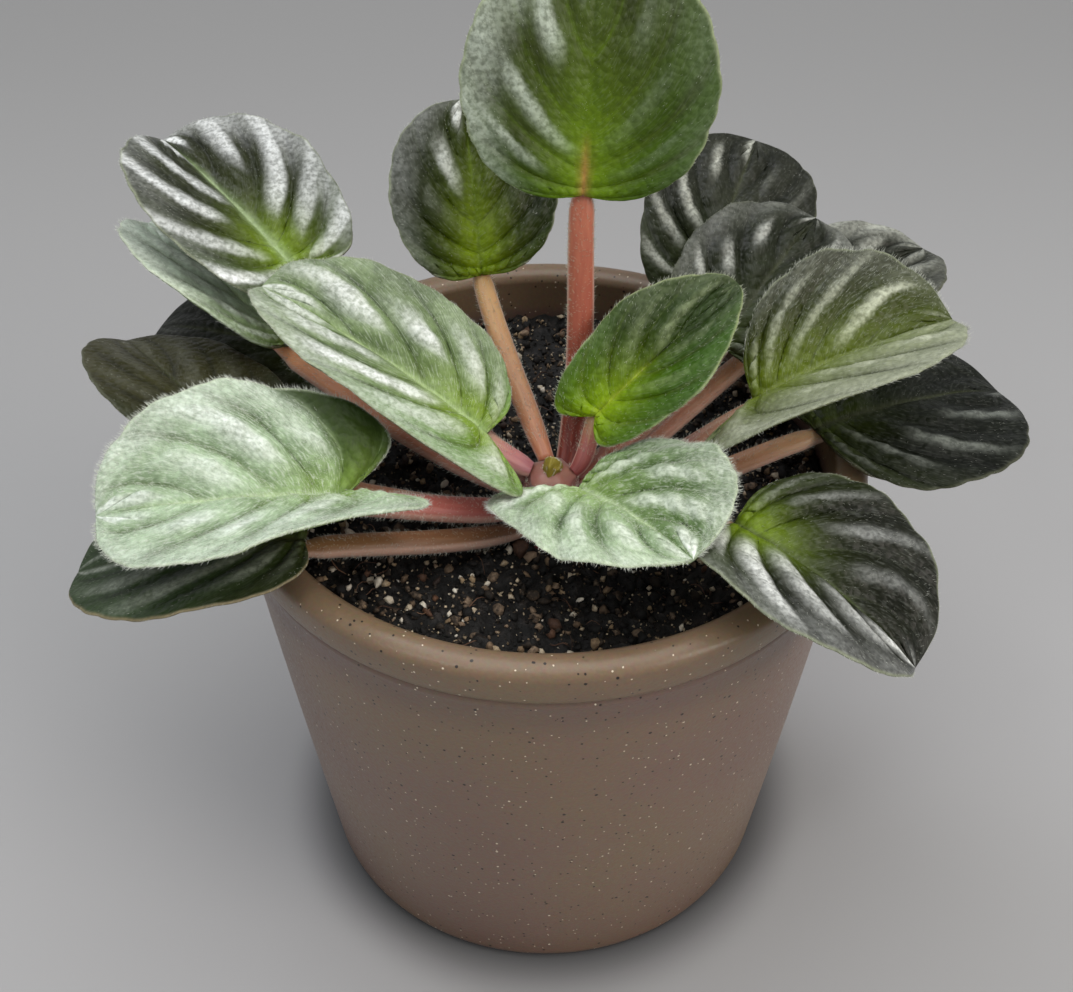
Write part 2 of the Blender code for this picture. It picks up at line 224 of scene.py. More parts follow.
def potClay(name):
    # speckled stoneware clay, jiggered, waxed and fired: a satin taupe skin with iron and
    # feldspar grit showing as sub-millimetre dots, and faint cloudy changes of tone
    made, tree, shader = newMaterial(name)
    place = addNode(tree, "TexCoord").outputs["Object"]
    cloud = addNode(tree, "TexNoise", None, {"Vector": place, "Scale": 22.0, "Detail": 4.0})
    parts = addNode(tree, "SeparateXYZ", None, {0: place})
    height = addNode(tree, "Math", {"operation": "DIVIDE"}, {
        0: parts.outputs["Z"], 1: pot["height"]})
    # the clay by height: darker towards the foot, warmer on the roll, and a painted shade band just
    # under the roll
    glaze = addNode(tree, "ValToRGB", {"stops": [(at, pot[paint]) for at, paint in (
        (0.0, "foot"), (0.1, "shade"), (0.35, "body"), (0.8, "body"), (0.86, "underRollShade"),
        (0.905, "underRollShade"), (0.925, "rim"), (1.0, "rim"))]}, {"Fac": height})
    patch = addNode(tree, "ValToRGB", {"stops": [
        (0.36, pot["shade"]), (0.5, pot["body"]), (0.66, pot["warm"])]}, {"Fac": cloud})
    tone = addNode(tree, "Mix", ofColours, {0: 0.5, 6: glaze, 7: patch})
    grain = addNode(tree, "TexNoise", None, {"Vector": place, "Scale": 1300.0, "Detail": 3.0})
    colour = addNode(tree, "Mix", {**ofColours, "blend_type": "OVERLAY"}, {
        0: 0.22, 6: tone, 7: grain.outputs["Color"]})
    # a speck shows where the surface cuts a cell's middle; the cell's own random red picks its kind
    ragged = addNode(tree, "VectorMath", {"operation": "MULTIPLY_ADD"}, {
        0: grain.outputs["Color"], 1: (0.0003, 0.0003, 0.0003), 2: place})
    for scale, seed, low, size, paint in pot["specks"]:
        moved = addNode(tree, "Mapping", None, {
            "Vector": ragged, "Location": (seed * 0.37, seed * 0.11, seed * 0.23)})
        cell = addNode(tree, "TexVoronoi", None, {"Vector": moved, "Scale": scale / pot["speck"]})
        near = addNode(tree, "MapRange", eased, {
            0: cell, "From Min": size * 0.7, "From Max": size, "To Min": 1.0, "To Max": 0.0})
        kind = addNode(tree, "SeparateColor", None, {"Color": cell.outputs["Color"]})
        chosen = addNode(tree, "MapRange", None, {0: kind, "From Min": low, "From Max": low + 0.02})
        both = addNode(tree, "Math", times, {0: near, 1: chosen})
        colour = addNode(tree, "Mix", ofColours, {0: both, 6: colour, 7: pot[paint]})
    gloss = addNode(tree, "MapRange", None, {
        0: grain, "From Min": 0.3, "From Max": 0.7, "To Min": 0.3, "To Max": 0.42})
    rough = addNode(tree, "Bump", None, {"Height": grain, "Strength": 0.3, "Distance": 0.0002})
    fill(tree, shader, {"Base Color": colour, "Roughness": gloss, "Normal": rough, "IOR": 1.5})
    return made


def potProfile():
    # (radius, height) pairs from under the foot, up the outside, over the roll and down the inside
    bandFoot = pot["height"] - pot["rimBand"]
    roll = pot["rimWidth"] / 2
    quarter = np.radians(np.linspace(0, 90, 9))
    foot = np.stack([pot["baseRadius"] - pot["fillet"] * (1 - np.sin(quarter)),
                     pot["fillet"] * (1 - np.cos(quarter))], 1)
    # between foot and shoulder the body bellies out by a sine
    t = np.linspace(0, 1, 26)[1:]
    top = (pot["shoulder"] - 0.0004, bandFoot - 0.0026)
    belly = pot["belly"] * np.sin(math.pi * t)
    body = np.stack([pot["baseRadius"] + (top[0] - pot["baseRadius"]) * t + belly,
                     pot["fillet"] + (top[1] - pot["fillet"]) * t], 1)
    # the groove and the swell under the roll, in millimetres out and up from the shoulder's top
    step = np.array([(-0.2, -1.9), (-0.1, -1.3), (-0.3, -0.7), (-0.6, -0.2), (-0.5, 0.2),
                     (0.2, 0.4), (0.7, 0.8), (1.0, 1.6), (1.3, 2.7), (1.6, 4.4), (1.75, 5.7)])
    step = step / 1000 + (pot["shoulder"], bandFoot)
    half = np.radians(np.linspace(0, 180, 33))
    rim = np.stack([pot["rimRadius"] - roll + roll * np.cos(half),
                    pot["height"] - roll * 0.8 * (1 - np.sin(half))], 1)
    mouth = pot["rimRadius"] - pot["rimWidth"]
    innerFoot = pot["baseRadius"] - pot["wall"]
    inside = np.linspace((mouth - 0.0002, bandFoot - 0.001),
                         (innerFoot - 0.001, pot["floor"] + 0.003), 20)
    bottom = [(innerFoot - 0.002, pot["floor"] + 0.001), (innerFoot - 0.004, pot["floor"])]
    return np.concatenate([foot, body, step, rim, inside, bottom])


def lathe(profile, sides):
    # the profile turned about the z axis: (r cos a, r sin a, z)
    turn = wholeTurn(sides)
    r, z = profile[:, :1], profile[:, 1:]
    return np.stack([r * np.cos(turn), r * np.sin(turn), np.broadcast_to(z, (len(r), sides))], -1)


def makePot():
    clay = potClay("stoneware_jiggered_speckled")
    rings = lathe(potProfile(), pot["sides"])
    # the pot wanders by a twentieth of a millimetre, as fired pots do
    turn = wholeTurn(pot["sides"])
    wander = np.sin(2 * turn + 0.6) + 0.5 * np.sin(5 * turn)
    rings[..., :2] *= 1 + pot["wander"] * wander[:, None]
    points, faces = closedBody(rings, (0, 0, 0), (0, 0, pot["floor"]))
    made = makePiece("pot_stoneware", points, faces, clay, "pot", ["pot"])
    # the drain holes are cut right through the floor
    cutters = []
    for i in range(pot["drainHoles"]):
        turn = math.radians(45 + 360 / pot["drainHoles"] * i)
        column = lathe(np.array([(pot["drainRadius"], z) for z in (-0.005, 0.01)]), 32)
        column += (pot["drainCircle"] * math.cos(turn), pot["drainCircle"] * math.sin(turn), 0)
        cutters.append(closedBody(column, column[0].mean(0), column[1].mean(0)))
    cutter = makePiece("drain_cutter", *joined(cutters), clay)
    cut = made.modifiers.new("drain", "BOOLEAN")
    cut.operation, cut.solver, cut.object = "DIFFERENCE", "EXACT", cutter
    graph = bpy.context.evaluated_depsgraph_get()
    done = bpy.data.meshes.new_from_object(made.evaluated_get(graph))
    made.modifiers.clear()
    made.data = done
    bpy.data.objects.remove(cutter)
    done.shade_smooth()
    done.set_sharp_from_angle(angle=math.radians(50))


makePot()
print("pot done")


soil = {
    "top": 0.1005, "sides": 220, "rows": 64, "rise": 0.0012,
    "lumps": 0.0011, "lumpCount": 70, "lumpSeed": 5, "rough": 0.023, "waves": 40, "waveSeed": 9,
    "strewn": 0.0565,  # how far out the grains' middles lie
    "reach": 0.0577,  # how far out any of their points may
    "fibres": 140, "fibreReach": 0.052, "wet": "#060504", "peat": "#0b0908",
    "brown": "#241c17",
    # loose grains in the order they are strewn: how many, least and greatest size, how flat at
    # most, whether lumpy, what they are, roughness, then their tones and each tone's place
    "grains": {
        "crumbs": (2600, 0.0007, 0.0032, 0.5, True, "peat_crumbs", 0.8,
                   (0.0, "#050403"), (0.55, "#0d0a08"), (0.8, "#33291f"), (1.0, "#8a7560")),
        "fines": (7000, 0.0004, 0.0013, 0.5, False, "peat_fines", 0.8,
                  (0.0, "#040303"), (0.5, "#120e0b"), (0.76, "#66553f"), (1.0, "#dccaac")),
        "perlite": (1500, 0.0005, 0.0027, 0.45, True, "perlite_and_vermiculite", 0.8,
                    (0.0, "#2e241c"), (0.28, "#76614c"), (0.5, "#9c8566"), (0.72, "#c8bba4"),
                    (1.0, "#efe8da")),
        "bark": (90, 0.0022, 0.0050, 0.28, True, "composted_bark", 0.75,
                 (0.0, "#1c130e"), (0.6, "#3d281d"), (1.0, "#6b4a35")),
    },
}
crown = {
    "x": 0.001, "y": -0.016, "radius": 0.0078, "tipRadius": 0.0042, "foot": 0.088, "top": 0.1165,
    "tones": ("#7c3a3e", "#985e5e", "#8e5f50"), "hairs": 700,
    "swell": 0.09, "knobs": 5, "twist": 500,  # how much it swells, how often round it and up it
}


def earthMaterial(name):
    # peat potting mix, sieved and watered in: near black, crumbly, with a faint damp glint
    made, tree, shader = newMaterial(name)
    place = addNode(tree, "TexCoord").outputs["Object"]
    clod = addNode(tree, "TexNoise", None, {"Vector": place, "Scale": 420.0, "Detail": 8.0})
    tone = addNode(tree, "ValToRGB", {"stops": [
        (0.38, soil["wet"]), (0.55, soil["peat"]), (0.72, soil["brown"])]}, {"Fac": clod})
    damp = addNode(tree, "MapRange", None, {
        0: clod, "From Min": 0.3, "From Max": 0.7, "To Min": 0.95, "To Max": 0.6})
    bump = addNode(tree, "Bump", None, {"Height": clod, "Strength": 1.0, "Distance": 0.0014})
    fill(tree, shader, {"Base Color": tone, "Roughness": damp, "Normal": bump})
    return made


def grainMaterial(name, stops, roughness):
    # loose grains, each with the tone of its own mark, mottled over 0.7 mm
    made, tree, shader = newMaterial(name)
    place = addNode(tree, "TexCoord").outputs["Object"]
    own = addNode(tree, "Attribute", {"attribute_name": "tone"})
    speckle = addNode(tree, "TexNoise", None, {"Vector": place, "Scale": 1400.0, "Detail": 4.0})
    total = addNode(tree, "Math", {"operation": "MULTIPLY_ADD"}, {
        0: speckle, 1: 0.5, 2: own.outputs["Fac"]})
    shift = addNode(tree, "Math", {"operation": "SUBTRACT"}, {0: total, 1: 0.25})
    tone = addNode(tree, "ValToRGB", {"stops": stops}, {"Fac": shift})
    bump = addNode(tree, "Bump", None, {"Height": speckle, "Strength": 0.7, "Distance": 0.0003})
    fill(tree, shader, {"Base Color": tone, "Roughness": roughness, "Normal": bump})
    return made


def innerRadius(height):
    # of the pot's inside: straight from the foot of the wall to under the roll
    low = (pot["baseRadius"] - pot["wall"] - 0.001, pot["floor"] + 0.003)
    high = (pot["rimRadius"] - pot["rimWidth"] - 0.0002, pot["height"] - pot["rimBand"] - 0.001)
    return low[0] + (high[0] - low[0]) * (height - low[1]) / (high[1] - low[1])


def soilLumps(x, y):
    # the solid's own lumps: seeded round bumps, each rise * exp(-distance^2 / size^2)
    chance = np.random.default_rng(soil["lumpSeed"])
    height = np.zeros_like(x)
    for _ in range(soil["lumpCount"]):
        across, along = chance.uniform(-0.058, 0.058, 2)
        size = chance.uniform(0.002, 0.0045)
        rise = chance.uniform(-0.5, 1.0) * soil["lumps"]
        height += rise * np.exp(-((x - across) ** 2 + (y - along) ** 2) / size**2)
    return height


def crumbNoise(x, y):
    # fine roughness: the sum of seeded sine waves, 2 to 7 mm long, each with its own heading
    chance = np.random.default_rng(soil["waveSeed"])
    height = np.zeros_like(x)
    for _ in range(soil["waves"]):
        pitch = chance.uniform(0.0018, 0.007)
        heading, start = chance.uniform(0, 2 * math.pi, 2)
        wave = np.sin((x * math.cos(heading) + y * math.sin(heading)) * 2 * math.pi / pitch + start)
        height += wave * pitch * soil["rough"]
    return height


def soilHeight(x, y):
    # height of the surface over any spot: heaped towards the crown, lumps and crumbs on top
    out = np.hypot(x - crown["x"], y - crown["y"])
    share = np.clip((0.045 - out) / 0.037, 0, 1)
    return soil["top"] + soil["rise"] * share**2 + soilLumps(x, y) + crumbNoise(x, y)


def grains(chance, count, low, high, squash, cut):
    # seeded lumpy grains: an octahedron, cut once (18 points, 32 faces) or not (8 faces), with each
    # point pushed in or out, then stretched, turned and laid on the soil with its foot sunk in
    corner = np.array([(1, 0, 0), (-1, 0, 0), (0, 1, 0), (0, -1, 0), (0, 0, 1), (0, 0, -1)], float)
    eight = [(4, 0, 2), (4, 2, 1), (4, 1, 3), (4, 3, 0), (5, 2, 0), (5, 1, 2), (5, 3, 1), (5, 0, 3)]
    middle, faces, points = {}, [] if cut else eight, list(corner)
    for a, b, c in eight if cut else ():
        mid = []
        for p, q in ((a, b), (b, c), (c, a)):
            key = (min(p, q), max(p, q))
            if key not in middle:
                middle[key] = len(points)
                points.append(unit(corner[p] + corner[q]))
            mid.append(middle[key])
        faces += [(a, mid[0], mid[2]), (mid[0], b, mid[1]), (mid[2], mid[1], c), tuple(mid)]
    ball, faces = np.array(points), np.array(faces)
    size = low + (high - low) * chance.random(count) ** 3
    turn = chance.uniform(0, 2 * math.pi, count)
    out = soil["strewn"] * np.sqrt(chance.random(count))
    centre = np.stack([out * np.cos(turn), out * np.sin(turn)], 1)
    body = ball * chance.uniform(0.5, 1.4, (count, len(ball), 1))
    body = body * chance.uniform(squash, 1.0, (count, 1, 3))
    spin = unit(chance.normal(size=(count, 3)))
    other = unit(np.cross(spin, chance.normal(size=(count, 3))))
    basis = np.stack([spin, other, np.cross(spin, other)], 1)
    body = np.einsum("nij,njk->nik", body, basis) * size[:, None, None] / 2
    body[..., :2] += centre[:, None]
    body[..., 2] += soilHeight(centre[:, 0], centre[:, 1])[:, None] + size[:, None] * 0.22
    # what would stand in the wall is drawn in
    reach = np.hypot(body[..., 0], body[..., 1])
    body[..., :2] *= np.minimum(1, soil["reach"] / reach)[..., None]
    tone = np.repeat(chance.random(count), len(ball))
    return body.reshape(-1, 3), [repeated(faces, count, len(ball))], tone


def strands(paths, radii):
    # thin three-sided tubes along paths (count, steps, 3), pointed at both ends
    count, steps = paths.shape[:2]
    tangent = unit(np.gradient(paths, axis=1))
    ring = ringRound(tangent, unit(np.cross(tangent, (0.31, 0.22, 0.93))), 3)
    body = paths[:, 1:-1, None] + ring[:, 1:-1] * radii[:, 1:-1, None, None]
    points = np.concatenate([body.reshape(count, -1, 3), paths[:, :1], paths[:, -1:]], 1)
    return points.reshape(-1, 3), [repeated(kind(steps - 2, 3), count, points.shape[1])
                                   for kind in (ringFaces, endFaces)]


def makeSoil():
    earth = earthMaterial("peat_mix_sieved_damp")
    sides = soil["sides"]
    floor, gap = pot["floor"] + 0.0003, 0.0003
    wall = innerRadius(soil["top"]) - 2 * gap
    turn = wholeTurn(sides)
    ring = np.stack([np.cos(turn), np.sin(turn)], 1)
    centre = np.array([crown["x"], crown["y"]])
    hole = centre + ring * (crown["radius"] - 0.0006)
    edge = ring * (wall - 0.0004)
    low = [(innerRadius(floor + 0.003) - 0.005, floor),
           (innerRadius(floor + 0.004) - 2 * gap, floor + 0.004), (wall, soil["top"] - 0.0015)]
    rings = [np.column_stack([ring * r, np.full(sides, z)]) for r, z in low]
    for share in np.linspace(0, 1, soil["rows"]) ** 0.9:
        flat = edge + (hole - edge) * share
        rings.append(np.column_stack([flat, soilHeight(flat[:, 0], flat[:, 1])]))
    rings.append(np.column_stack([hole, np.full(sides, crown["foot"])]))
    body = closedBody(np.array(rings), (0, 0, floor), (*centre, crown["foot"]))
    makePiece("soil_peat", *body, earth, "soil", ["soil"])
    chance = np.random.default_rng(21)
    for kind, (count, low, high, squash, cut, name, rough, *stops) in soil["grains"].items():
        points, faces, tone = grains(chance, count, low, high, squash, cut)
        made = grainMaterial(name, stops, rough)
        makePiece("soil_" + kind, points, faces, made, "soil", marks={"tone": tone})
    # fibres lie along the surface on shallow bends
    count, steps = soil["fibres"], 7
    out = soil["fibreReach"] * np.sqrt(chance.random(count))
    turn, heading = chance.uniform(0, 2 * math.pi, (2, count))
    bend = chance.normal(0, 0.9, count)
    length = chance.uniform(0.002, 0.0065, count)
    t = np.linspace(-0.5, 0.5, steps)
    angle = heading[:, None] + bend[:, None] * t
    x = (out * np.cos(turn))[:, None] + length[:, None] * t * np.cos(angle)
    y = (out * np.sin(turn))[:, None] + length[:, None] * t * np.sin(angle)
    z = soilHeight(x, y) + 0.0007 + 0.0009 * (1 - (2 * t) ** 2) * chance.random(count)[:, None]
    radii = np.broadcast_to(chance.uniform(0.00006, 0.00016, count)[:, None], (count, steps))
    points, faces = strands(np.stack([x, y, z], -1), radii)
    fibre = grainMaterial("coir_fibre", [(0.0, "#2a1a12"), (0.6, "#5d4030"), (1.0, "#8d6a50")], 0.7)
    tone = np.repeat(chance.random(count), len(points) // count)
    makePiece("soil_fibres", points, faces, fibre, "soil", marks={"tone": tone})


makeSoil()
print("soil done")


# each skin: the blade's tones on its body, in its hollows (a painted shade) and where it is
# freshest, the silver of its down with a painted highlight on each strip's lit flank, its veins,
# the glow by the stalk (painted light shining through the blade), the midrib, the margin and the
# underside. Pairs are for the left and right half: silver is how much of it there is, bloom how
# pale the margin's zone is, band how wide the silver lies. silverFrom says where it sets in from
# base to tip, thin how much it fades outwards, mottle how patchy the body is; fresh is (from, to)
# on each half, dull how much silver it takes, ribTo where the midrib's own tone ends; glowSize,
# ribWide and glowVein are in metres; hairs are per square millimetre, down and fringe their lengths
skins = {
    "dark": {"mid": "#282a20", "deep": "#12150e", "green": "#2a311b", "light": "#cdd0c4",
        "vein": "#151810", "glow": "#49591a", "rib": "#3c402a", "edge": "#5c5f4c",
        "under": "#4c4835", "silver": (0.6, 0.6), "glowAmount": 0.5, "veins": 0.6, "stroke": 0.04,
        "sheen": 0.0, "shine": 0.22, "rough": 0.34, "hairs": 0.25, "down": 0.0004,
        "fringe": 0.0005},
    "mature": {"mid": "#343922", "deep": "#1f2412", "green": "#41501c", "light": "#e8ebe7",
        "vein": "#222810", "glow": "#7e9a14", "rib": "#8b9b66", "edge": "#959c80",
        "under": "#6d7150", "silver": (0.8, 0.8), "glowAmount": 0.9, "veins": 0.6, "stroke": 0.06,
        "sheen": 0.0, "shine": 0.26, "rough": 0.34, "hairs": 0.4, "down": 0.0005, "fringe": 0.0008},
    "lit": {"mid": "#3d4a1d", "deep": "#292d12", "green": "#3b5608", "light": "#b3bba6",
        "vein": "#5c7c16", "glow": "#76980a", "rib": "#b5834a", "edge": "#a3ad86",
        "under": "#7b8256", "silver": (0.8, 0.35), "glowAmount": 0.85, "veins": 0.25,
        "stroke": 0.04, "sheen": 0.0, "shine": 0.22, "rough": 0.36, "hairs": 0.3, "down": 0.00045,
        "fringe": 0.0008},
    "young": {"mid": "#2f411b", "deep": "#1d2b08", "green": "#315602", "light": "#98a57d",
        "vein": "#4f6a1c", "glow": "#8fb00c", "rib": "#a9ba38", "edge": "#a8b384",
        "under": "#7b8b52", "silver": (0.6, 0.5), "glowAmount": 0.9, "veins": 0.4, "stroke": 0.06,
        "sheen": 0.0, "shine": 0.22, "rough": 0.38, "hairs": 0.9, "down": 0.0006, "fringe": 0.0011},
    "mint": {"mid": "#98b085", "deep": "#455a2c", "green": "#7f9a55", "light": "#eaf2ea",
        "vein": "#b9cca6", "glow": "#8fae48", "rib": "#b7cc9c", "edge": "#c3cfb2",
        "under": "#8a9c6c", "silver": (0.95, 0.95), "glowAmount": 0.6, "veins": 0.3, "stroke": 0.5,
        "sheen": 0.1, "shine": 0.3, "rough": 0.45, "hairs": 4.5, "down": 0.0008, "fringe": 0.0014},
}
for skin in skins.values():
    skin.update({"silverFrom": (-0.1, 0.0), "bloom": (0.0, 0.0), "band": (1.0, 1.0),
                 "mottle": 0.5, "thin": 0.35, "fresh": ((0.4, 0.1), (0.4, 0.1)), "dull": 0.0,
                 "ribTo": 0.98, "ribWide": 0.0009, "glowSize": 0.0068, "glowAlong": 0.62,
                 "glowVein": 0.0007})

leafForm = {
    "veinGaps": 5, "tooth": 0.012, "crenate": 0.016, "quilt": 0.0015, "bow": 0.2, "thick": 0.0012,
    "edgeThick": 0.0008, "rows": 112, "columns": 24, "ribRadius": 0.0013, "ribShare": 0.72,
    "stalkDepth": 0.82, "stalkSides": 20, "channel": 0.09, "firstWhorl": 0.105,
    "whorlStep": 0.0034,
    "pucker": 0.00032, "ribGroove": 0.00035, "ripple": 0.00055,  # heights of the small relief
    "rounded": 0.955,  # how far out the margin's rounding begins
}


def leafOf(skin, whorl, azimuth, base, tip, width, face, fold, spread, lobes=(0.18, 0.18),
           curl=-12, widest=0.45, arch=0.002, point=0.0, stalk=0.0048,
           flesh=("#7a3a30", "#b07a5e", "#bc9870"), quilt=1.0, **tint):
    # fold and spread: how far the left and right halves rise from the midrib at the base and at
    # the tip, in degrees; flesh: the stalk's tones from the crown to the blade; tint: what differs
    # from the skin
    return {"skin": skin, "whorl": whorl, "azimuth": azimuth, "base": np.array(base),
            "tip": np.array(tip), "width": width, "face": np.array(face, float), "fold": fold,
            "spread": spread, "lobes": lobes, "curl": curl, "widest": widest, "arch": arch,
            "point": point, "stalk": stalk, "flesh": flesh, "quilt": quilt,
            "tint": {**skins[skin], **tint}}


leaves = {
    "tall": leafOf("lit", 2, 65, (0.0065, 0.006, 0.164), (0.0085, 0.020, 0.205), 0.046,
        (0, -0.9, 0.45), (10, 10), (8, 8), lobes=(0.04, 0.04), curl=-10, arch=0.003, stalk=0.0053,
        flesh=("#66221a", "#a65441", "#bd7156"), quilt=0.55, silver=(0.9, 0.15),
        silverFrom=(0.15, 0.5), bloom=(0.7, 0.1), band=(0.8, 0.8), light="#cdd7c8", mottle=0.95,
        fresh=((0.5, 0.0), (0.85, 0.2)), ribTo=0.3, glowSize=0.0068, glowAlong=0.36,
        glowVein=0.0018, ribWide=0.0011),
    "back_left": leafOf("mature", 3, 105, (-0.0132, 0.021, 0.137), (-0.017, 0.043, 0.164), 0.034,
        (0.1, -0.8, 0.55), (14, 14), (8, 8), lobes=(0.06, 0.03), stalk=0.0046,
        flesh=("#a86c50", "#c8966e", "#d0a872"), mid="#212712", deep="#12170a", green="#2f3e12",
        silver=(0.85, 0.25), silverFrom=(0.5, 0.8), mottle=0.8, bloom=(0.2, 0.0), glow="#829c08",
        rib="#5f7414", glowSize=0.0056, glowAlong=0.34),
    "young_right": leafOf("young", 3, 5, (0.0096, -0.0105, 0.1255), (0.0362, 0.003, 0.1465), 0.025,
        (-0.2, -0.8, 0.6), (15, 38), (10, 38), lobes=(0.2, 0.15), point=1.0, stalk=0.0036,
        flesh=("#7c3635", "#9c5850", "#b8966a"), quilt=0.7, silver=(0.55, 0.3),
        silverFrom=(0.3, 0.6), bloom=(0.2, 0.1), band=(0.75, 0.75),
        fresh=((0.45, 0.15), (0.8, 0.5)), ribTo=0.5, glowSize=0.0058, glowVein=0.0011),
    "folded_right": leafOf("mature", 1, 0, (0.0405, -0.0065, 0.126), (0.079, 0.004, 0.137), 0.044,
        (0, -0.15, 1), (28, 36), (18, 36), lobes=(0, 0.45), curl=-6, widest=0.6, stalk=0.0040,
        flesh=("#6a322c", "#8c5848", "#a07c5c"), mid="#1c1f0a", deep="#101204", green="#878d74",
        light="#d6dac6", silver=(0.85, 0.8), stroke=0.12, hairs=1.3, glow="#66780c", fringe=0.0014,
        band=(0.62, 0.7), bloom=(0.12, 0.25), fresh=((-2.0, -3.0), (3.0, 2.0)), rib="#6c7a26",
        ribTo=0.6, glowSize=0.009, glowAlong=0.26),
    "back_right_upper": leafOf("dark", 1, 75, (0.034, 0.0365, 0.1245), (0.0478, 0.0705, 0.1395),
        0.0375, (0, -0.5, 0.85), (12, 18), (5, 5), lobes=(0.18, 0.04), arch=0.003,
        silver=(1.0, 0.2), band=(0.62, 0.6)),
    "back_right_lower": leafOf("dark", 2, 30, (0.036, 0.0145, 0.124), (0.058, 0.043, 0.136), 0.037,
        (-0.1, -0.5, 0.85), (15, 15), (5, 5), lobes=(0.18, 0.08), arch=0.003, mid="#262a1c",
        deep="#12150d", light="#f2f5ec", silver=(0.95, 0.35), bloom=(0.15, 0.2), band=(0.68, 0.65)),
    "far_right": leafOf("dark", 0, 40, (0.050, 0.025, 0.121), (0.0835, 0.0475, 0.1255), 0.036,
        (0, -0.2, 0.95), (10, 28), (5, 22), lobes=(0.18, 0.04), bloom=(0.65, 0.15)),
    "side_right": leafOf("dark", 0, 355, (0.054, -0.0045, 0.117), (0.0955, 0.0145, 0.111), 0.048,
        (0, -0.2, 0.95), (-3, 0), (-3, 20), lobes=(0.1, 0), curl=-9, arch=0.003, mid="#151811",
        deep="#0b0d09", light="#888d85", silver=(0.05, 0.7), band=(0.6, 0.6), shine=0.16),
    "front_right": leafOf("mature", 1, 325, (0.0343, -0.0355, 0.1197), (0.0655, -0.0566, 0.1038),
        0.0455, (0, -0.1, 1), (10, 18), (12, 45), lobes=(0.05, 0.15), curl=-8, arch=0.0035,
        mid="#1a1c10", deep="#0d0f08", silver=(0.3, 1.0), green="#2b3514", band=(0.6, 1.35),
        bloom=(0.0, 0.2), rib="#4a5530", glowSize=0.0056),
    "young_front": leafOf("mint", 1, 280, (0.0060, -0.025, 0.119), (0.025, -0.050, 0.1245), 0.042,
        (0, -0.3, 0.95), (8, 20), (6, 32), lobes=(0.1, 0.52), curl=-8, widest=0.52, stalk=0.0038,
        flesh=("#a05a56", "#b47c74", "#bc968a"), mid="#a4bd93", green="#637e4b", deep="#3f582a",
        light="#edf5ea", bloom=(0.5, 0.5), quilt=1.35, stroke=0.35,
        fresh=((3.0, 2.0), (-2.0, -3.0))),
    "front_left": leafOf("mint", 1, 205, (-0.038, -0.028, 0.120), (-0.082, -0.036, 0.122), 0.045,
        (0, -0.2, 1), (62, 32), (5, 28), lobes=(0.40, 0.28), curl=-8, widest=0.42, stalk=0.0056,
        flesh=("#984a44", "#b6665c", "#b87866"), mid="#acc3a1", green="#2e3f17",
        fresh=((-2.0, -3.0), (0.28, 0.17)), dull=1.0, bloom=(0.4, 0.5), silver=(0.95, 0.95),
        quilt=1.2),
    "mid_left": leafOf("mature", 3, 165, (-0.012, -0.013, 0.123), (-0.057, 0.014, 0.138), 0.036,
        (0.1, -0.2, 1), (22, 22), (40, 20), lobes=(0.32, 0.05), curl=-6,
        flesh=("#9c6068", "#b57a78", "#b8907a"), mid="#7b8f62", deep="#304418", green="#6f9050",
        light="#eef2ee", silver=(1.0, 1.0), band=(1.3, 1.3), stroke=0.25, hairs=1.5,
        fresh=((0.5, 0.2), (0.1, 0.0)), bloom=(0.4, 0.1), rib="#a9bf86", ribWide=0.0013),
    "upper_left": leafOf("mature", 2, 140, (-0.053, 0.027, 0.135), (-0.0845, 0.0625, 0.144), 0.0425,
        (0, -0.35, 0.95), (20, 12), (52, 8), curl=-8, stalk=0.0052, light="#f6f9f8",
        silver=(1.0, 1.0), bloom=(0.15, 0.5), thin=0.0, mid="#2b3016", deep="#14170a",
        green="#38461f", band=(0.9, 1.1), rib="#a8bd8c", ribWide=0.0014),
    # under_left's body and stalk tones are raised to make up for the shade upper_left casts on
    # them: painted light
    "under_left": leafOf("mint", 1, 160, (-0.0545, 0.018, 0.1215), (-0.0885, 0.0525, 0.129), 0.038,
        (0, -0.2, 1), (50, 15), (45, 5), lobes=(0.1, 0.18), stalk=0.0058,
        flesh=("#b06a60", "#dc9a7c", "#f0aa78"), mid="#b4c4b0", deep="#6d7b61", light="#e2eadf",
        stroke=0.15, hairs=0.8, bloom=(0.6, 0.2)),
    "low_left": leafOf("dark", 0, 185, (-0.0565, -0.019, 0.1225), (-0.0885, 0.0205, 0.120), 0.036,
        (0, -0.3, 0.95), (35, -5), (48, -18), lobes=(0.1, 0.1), mid="#38371f", deep="#252414",
        silver=(0.08, 0.08), quilt=0.35),
    "low_back_left": leafOf("dark", 0, 130, (-0.046, 0.0195, 0.1145), (-0.086, 0.039, 0.1105),
        0.034, (0, -0.3, 0.95), (6, 3), (4, 0), lobes=(0.1, 0.1), curl=-2, arch=0.0035,
        mid="#1a1c13", silver=(0.06, 0.06), quilt=0.4),
    "low_front_left": leafOf("dark", 0, 222, (-0.045, -0.0363, 0.1165), (-0.0887, -0.0345, 0.106),
        0.040, (0, -0.1, 1), (19, -4), (20, 0), lobes=(0.1, 0.05), stalk=0.0052,
        flesh=("#603f29", "#80593a", "#8a6642"), quilt=0.4, mid="#2f3f24", deep="#1f2a17",
        light="#a2a89c", silver=(0.6, 0.4), edge="#97896a"),
}


